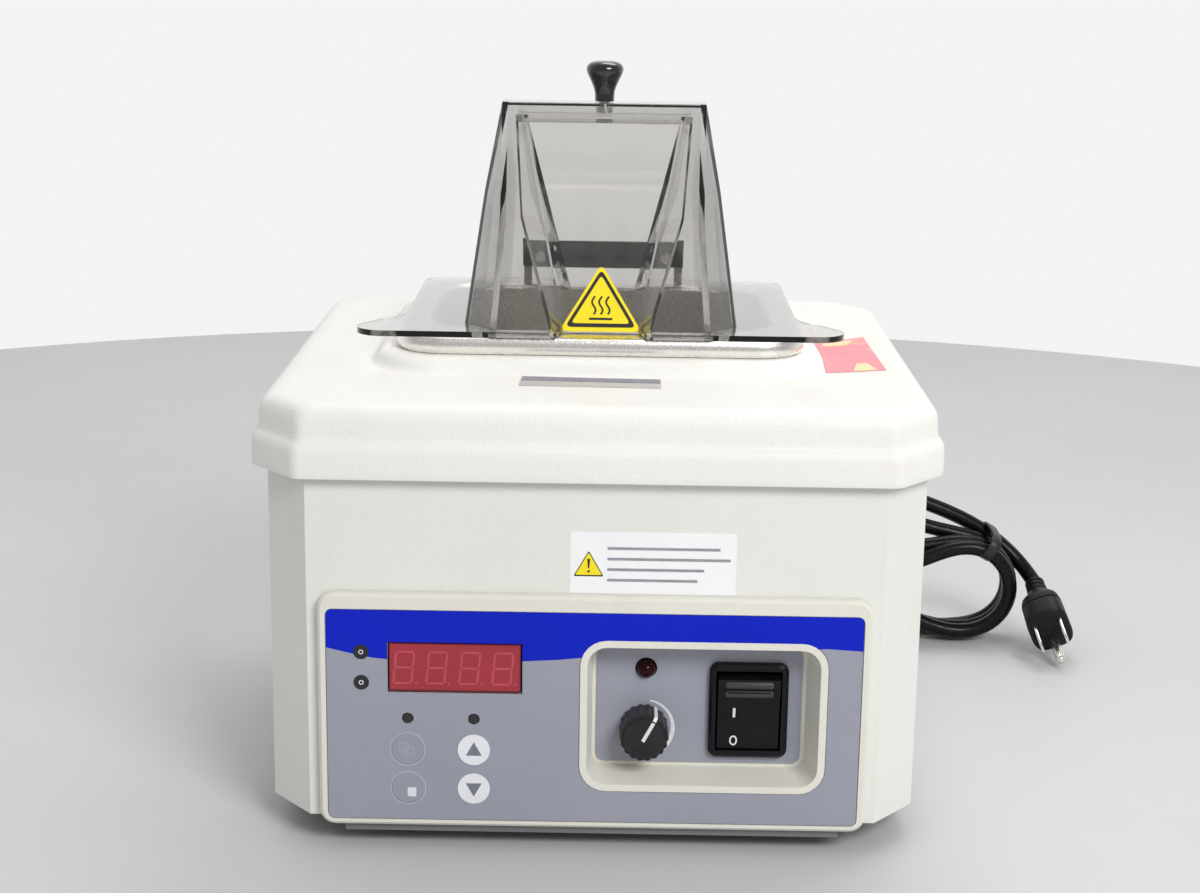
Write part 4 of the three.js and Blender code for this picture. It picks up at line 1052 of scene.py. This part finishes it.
def drape(name, material, layer, steps, corners):
    """A thin sheet between four corners, laid on the cover's skin."""
    a, b, c, d = (Vector(p) for p in corners)
    wide, deep = steps
    verts, faces = [], []
    for level in (LABEL * layer + DRAPE_THICK, LABEL * layer):
        for j in range(deep + 1):
            for i in range(wide + 1):
                p = a.lerp(b, i / wide).lerp(d.lerp(c, i / wide), j / deep)
                verts.append((p.x * MM, p.y * MM, cover_height(p.x, p.y) + level))
    row = wide + 1
    lower = row * (deep + 1)
    for j in range(deep):
        for i in range(wide):
            k = j * row + i
            faces.append((k, k + 1, k + row + 1, k + row))
            faces.append((lower + k, lower + k + row, lower + k + row + 1, lower + k + 1))
    edge = list(range(wide)) + [j * row + wide for j in range(deep)]
    edge += [deep * row + i for i in range(wide, 0, -1)] + [j * row for j in range(deep, 0, -1)]
    for k, n in zip(edge, edge[1:] + edge[:1]):
        faces.append((k, lower + k, lower + n, n))
    mesh = mesh_from(name, verts, faces)
    turn_outwards(mesh)
    new_piece(name, mesh, material, "case", smooth=40)


# The silver strip in front of the tank and the red sticker to its right, both blank: name,
# material, layer, steps across and back, and corners in plan in millimetres.
COVER_MARKS = [
    ("cover_strip", "strip_silver", 1, (28, 20),
     [(-31.6, -86.8), (24.4, -88.4), (24.8, -71.4), (-31.1, -69.4)]),
    ("cover_strip_blue", "strip_blue", 2, (28, 20),
     [(-31.1, -77.2), (24.2, -79.4), (24.3, -72.2), (-30.7, -70.2)]),
    ("cover_sticker", "sticker_red", 1, (28, 20),
     [(92.4, -53.3), (117.9, -45.5), (116.4, 27.0), (90.3, 7.8)]),
    ("cover_sticker_panel", "sticker_cream", 2, (10, 10),
     [(104, -49), (114, -46), (111.5, -32), (107, -33)]),
    ("cover_sticker_far_panel", "sticker_cream", 2, (10, 10),
     [(97, 3), (107, 7), (111, 19), (96, 8)]),
]


def indicator_marks():
    """A small degree ring on each of the two temperature lenses."""
    under, over = on_face(FILM_LOW.y - PRINT), on_face(FILM_LOW.y - 2 * PRINT)
    for node in ("fahrenheit_indicator", "celsius_indicator"):
        x, z = centre_of(node)
        print_on(node + "_face", disc(x, z, 2.95, 40), under, "print_black")
        print_on(node + "_mark", disc(x, z, 0.95, 24), over, "print_white",
                 holes=[disc(x, z, 0.6, 24)])


# The thermostat's pointer: its angle, and in millimetres where it starts and ends on the
# knob's face, its width there and down the knob's side, and how far down it goes.
POINTER = {"angle": 62, "start": 1.2, "end": 8.2, "width": 1.4, "side_half": 0.68, "down": 12.6}
# The arc beside the knob: first angle, sweep, inner radius, outer radius and its growth.
DIAL = {"start": 78, "sweep": 190, "inner": 10.7, "outer": 11.3, "growth": 2.2, "steps": 40}


def knob_marks():
    """The pointer over the thermostat knob's face and down its side, and the dial arc."""
    low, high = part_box("safety_knob")
    x, z = centre_of("safety_knob")
    centre = Vector((x, z))
    angle = math.radians(POINTER["angle"])
    aim = Vector((math.cos(angle), math.sin(angle)))
    start, end = centre - aim * POINTER["start"], centre + aim * POINTER["end"]
    print_on("knob_pointer_face", stroke([tuple(start), tuple(end)], POINTER["width"]),
             on_face(low.y), "print_white", "safety_control")
    across = Vector((-aim.y, aim.x))
    half = POINTER["side_half"]
    side_reach = (high.x - low.x) / 2 / MM + 0.03
    rings = []
    for y, reach in ((low.y - PRINT, POINTER["end"] - 0.2), (low.y + MM, side_reach),
                     (low.y + POINTER["down"] * MM, side_reach)):
        middle = centre + aim * reach
        places = [middle + aim * out + across * side
                  for out, side in ((0.12, -half), (0.12, half), (-0.5, half), (-0.5, -half))]
        rings.append([Vector((p.x * MM, y, p.y * MM)) for p in places])
    loft_piece("knob_pointer_side", rings, "print_white", "safety_control")
    outer, inner = [], []
    for k in range(DIAL["steps"] + 1):
        t = k / DIAL["steps"]
        a = math.radians(DIAL["start"] - DIAL["sweep"] * t)
        for side, r in ((outer, DIAL["outer"] + DIAL["growth"] * t), (inner, DIAL["inner"])):
            side.append((x + r * math.cos(a), z + r * math.sin(a)))
    print_on("dial_arc", outer + inner[::-1], front_of("pocket_overlay"), "print_white")


def on_paddle(u, v, w):
    """A placer on the rocker's hollow front, which leans with its tilt. v is up the face."""
    share = abs(v) / PADDLE["half"]
    depth = PADDLE["middle_depth"] + (PADDLE["end_depth"] - PADDLE["middle_depth"]) * share
    return PADDLE_FACE @ Vector((u * MM, -depth * MM - w, v * MM))


def rocker_marks():
    """The line for on and the ring for off."""
    for name, outline, holes in (
            ("rocker_line", rounded(-6.1, -1.9, -5.1, 2.3, 0.2, 2), ()),
            ("rocker_ring", oval(-5.6, -11.7, 1.55, 2.1), [oval(-5.6, -11.7, 0.95, 1.45)])):
        print_on(name, outline, on_paddle, "print_white", "rocker", holes)


def rocker_ribs():
    """Two rounded ribs across the raised end of the rocker, their black lightened as a painted
    highlight.
    """
    for k, v in enumerate(RIBS["places"]):
        rings = []
        for u, share in RIB_ENDS:
            arc = [math.pi * step / 16 for step in range(17)]
            rings.append([on_paddle(u * RIBS["half"],
                                    v + RIBS["width"] / 2 * math.cos(a) * share,
                                    RIBS["height"] * math.sin(a) * share - PRINT) for a in arc])
        loft_piece("rocker_rib_%d" % (k + 1), rings, "rib_black", "rocker", 50)


def lid_sign():
    """The yellow hot-surface sign at the foot of the hood's front panel, leaning with it."""
    normal = Vector((0, -math.cos(PANEL_LEAN), math.sin(PANEL_LEAN)))
    up = Vector((0, math.sin(PANEL_LEAN), math.cos(PANEL_LEAN)))

    def face(u, v, w):
        return SIGN_FOOT + Vector((u * MM, 0, 0)) + up * (v * MM) + normal * (w + PRINT * 2)

    def ink(name, outline, holes=()):
        print_on(name, outline, lambda u, v, w: face(u, v, w + SIGN), "print_black", "lid",
                 holes)

    print_on("sign_plate", triangle(0, 0, 34, 30.2, 3.6), face, "label_yellow", "lid",
             thick=SIGN)
    ink("sign_border", triangle(0, 1.9, 29.2, 25.8, 2.7), [triangle(0, 3.6, 24.2, 21.4, 1.7)])
    for k in (-1, 0, 1):
        line = [(k * 2.9 + 0.75 * math.sin(t / 16 * 2 * math.pi * 1.1), 7.6 + t * 0.5)
                for t in range(17)]
        ink("sign_wave_%d" % (k + 1), stroke(line, 0.8))
    ink("sign_bar", rounded(-4.8, 5.1, 4.8, 6.1, 0.2, 2))


blue_print()
key_prints()
display_digits()
case_label()
for cover_mark in COVER_MARKS:
    drape(*cover_mark)
indicator_marks()
knob_marks()
rocker_marks()
rocker_ribs()
lid_sign()

# ---- lights, floor, world

FLOOR_RADIUS = 1.0
FLOOR_TONES = (0.6, 0.6, 0.605), (0.64, 0.64, 0.645)
SURROUND_FRONT = 0.42
SURROUND_BACK = 0.9
# The surround's brightness grows between these values of its direction's Y.
SURROUND_SPAN = (-0.35, 0.75)
# Name, place, target and size in metres, and power in watts.
LIGHTS = [
    ("key", (0.68, -1.3, 1.05), (0, 0, 0.12), (0.7, 0.5), 17),
    ("top", (0.25, 0.5, 1.3), (0, 0.05, 0.2), (0.8, 0.5), 5),
]


def make_stage():
    bpy.ops.mesh.primitive_circle_add(vertices=128, radius=FLOOR_RADIUS, fill_type="NGON",
                                      location=(0, 0, 0))
    floor = bpy.context.object
    floor.name = "floor"
    m = Nodes("floor")
    m.drive("Base Color", m.mix(m.span(m.noise(3, 3), 0, 1), *FLOOR_TONES))
    m.drive("Roughness", m.span(m.noise(40, 3), 0.5, 0.62))
    paint(floor, "floor")


def area_light(name, place, target, size, power):
    data = bpy.data.lights.new(name, "AREA")
    data.shape = "RECTANGLE"
    data.size, data.size_y = size
    data.energy = power
    light = bpy.data.objects.new(name, data)
    SCENE.collection.objects.link(light)
    light.location = place
    aim = Vector(target) - Vector(place)
    light.rotation_euler = aim.to_track_quat("-Z", "Y").to_euler()


def make_world():
    """A pale surround, brightest behind the object, like a bench in front of a white wall."""
    world = bpy.data.worlds.new("world")
    world.use_nodes = True
    tree = world.node_tree
    back = fill(tree.nodes["Background"], Strength=1.0)
    place = tree.nodes.new("ShaderNodeTexCoord")
    split = tree.nodes.new("ShaderNodeSeparateXYZ")
    level = tree.nodes.new("ShaderNodeMapRange")
    level.interpolation_type = "SMOOTHSTEP"
    low, high = SURROUND_SPAN
    fill(level, From_Min=low, From_Max=high, To_Min=SURROUND_FRONT, To_Max=SURROUND_BACK)
    tree.links.new(place.outputs["Generated"], split.inputs[0])
    tree.links.new(split.outputs["Y"], level.inputs["Value"])
    tree.links.new(level.outputs["Result"], back.inputs["Color"])
    SCENE.world = world


make_stage()
make_world()
for light in LIGHTS:
    area_light(*light)
SCENE.view_settings.view_transform = "Standard"
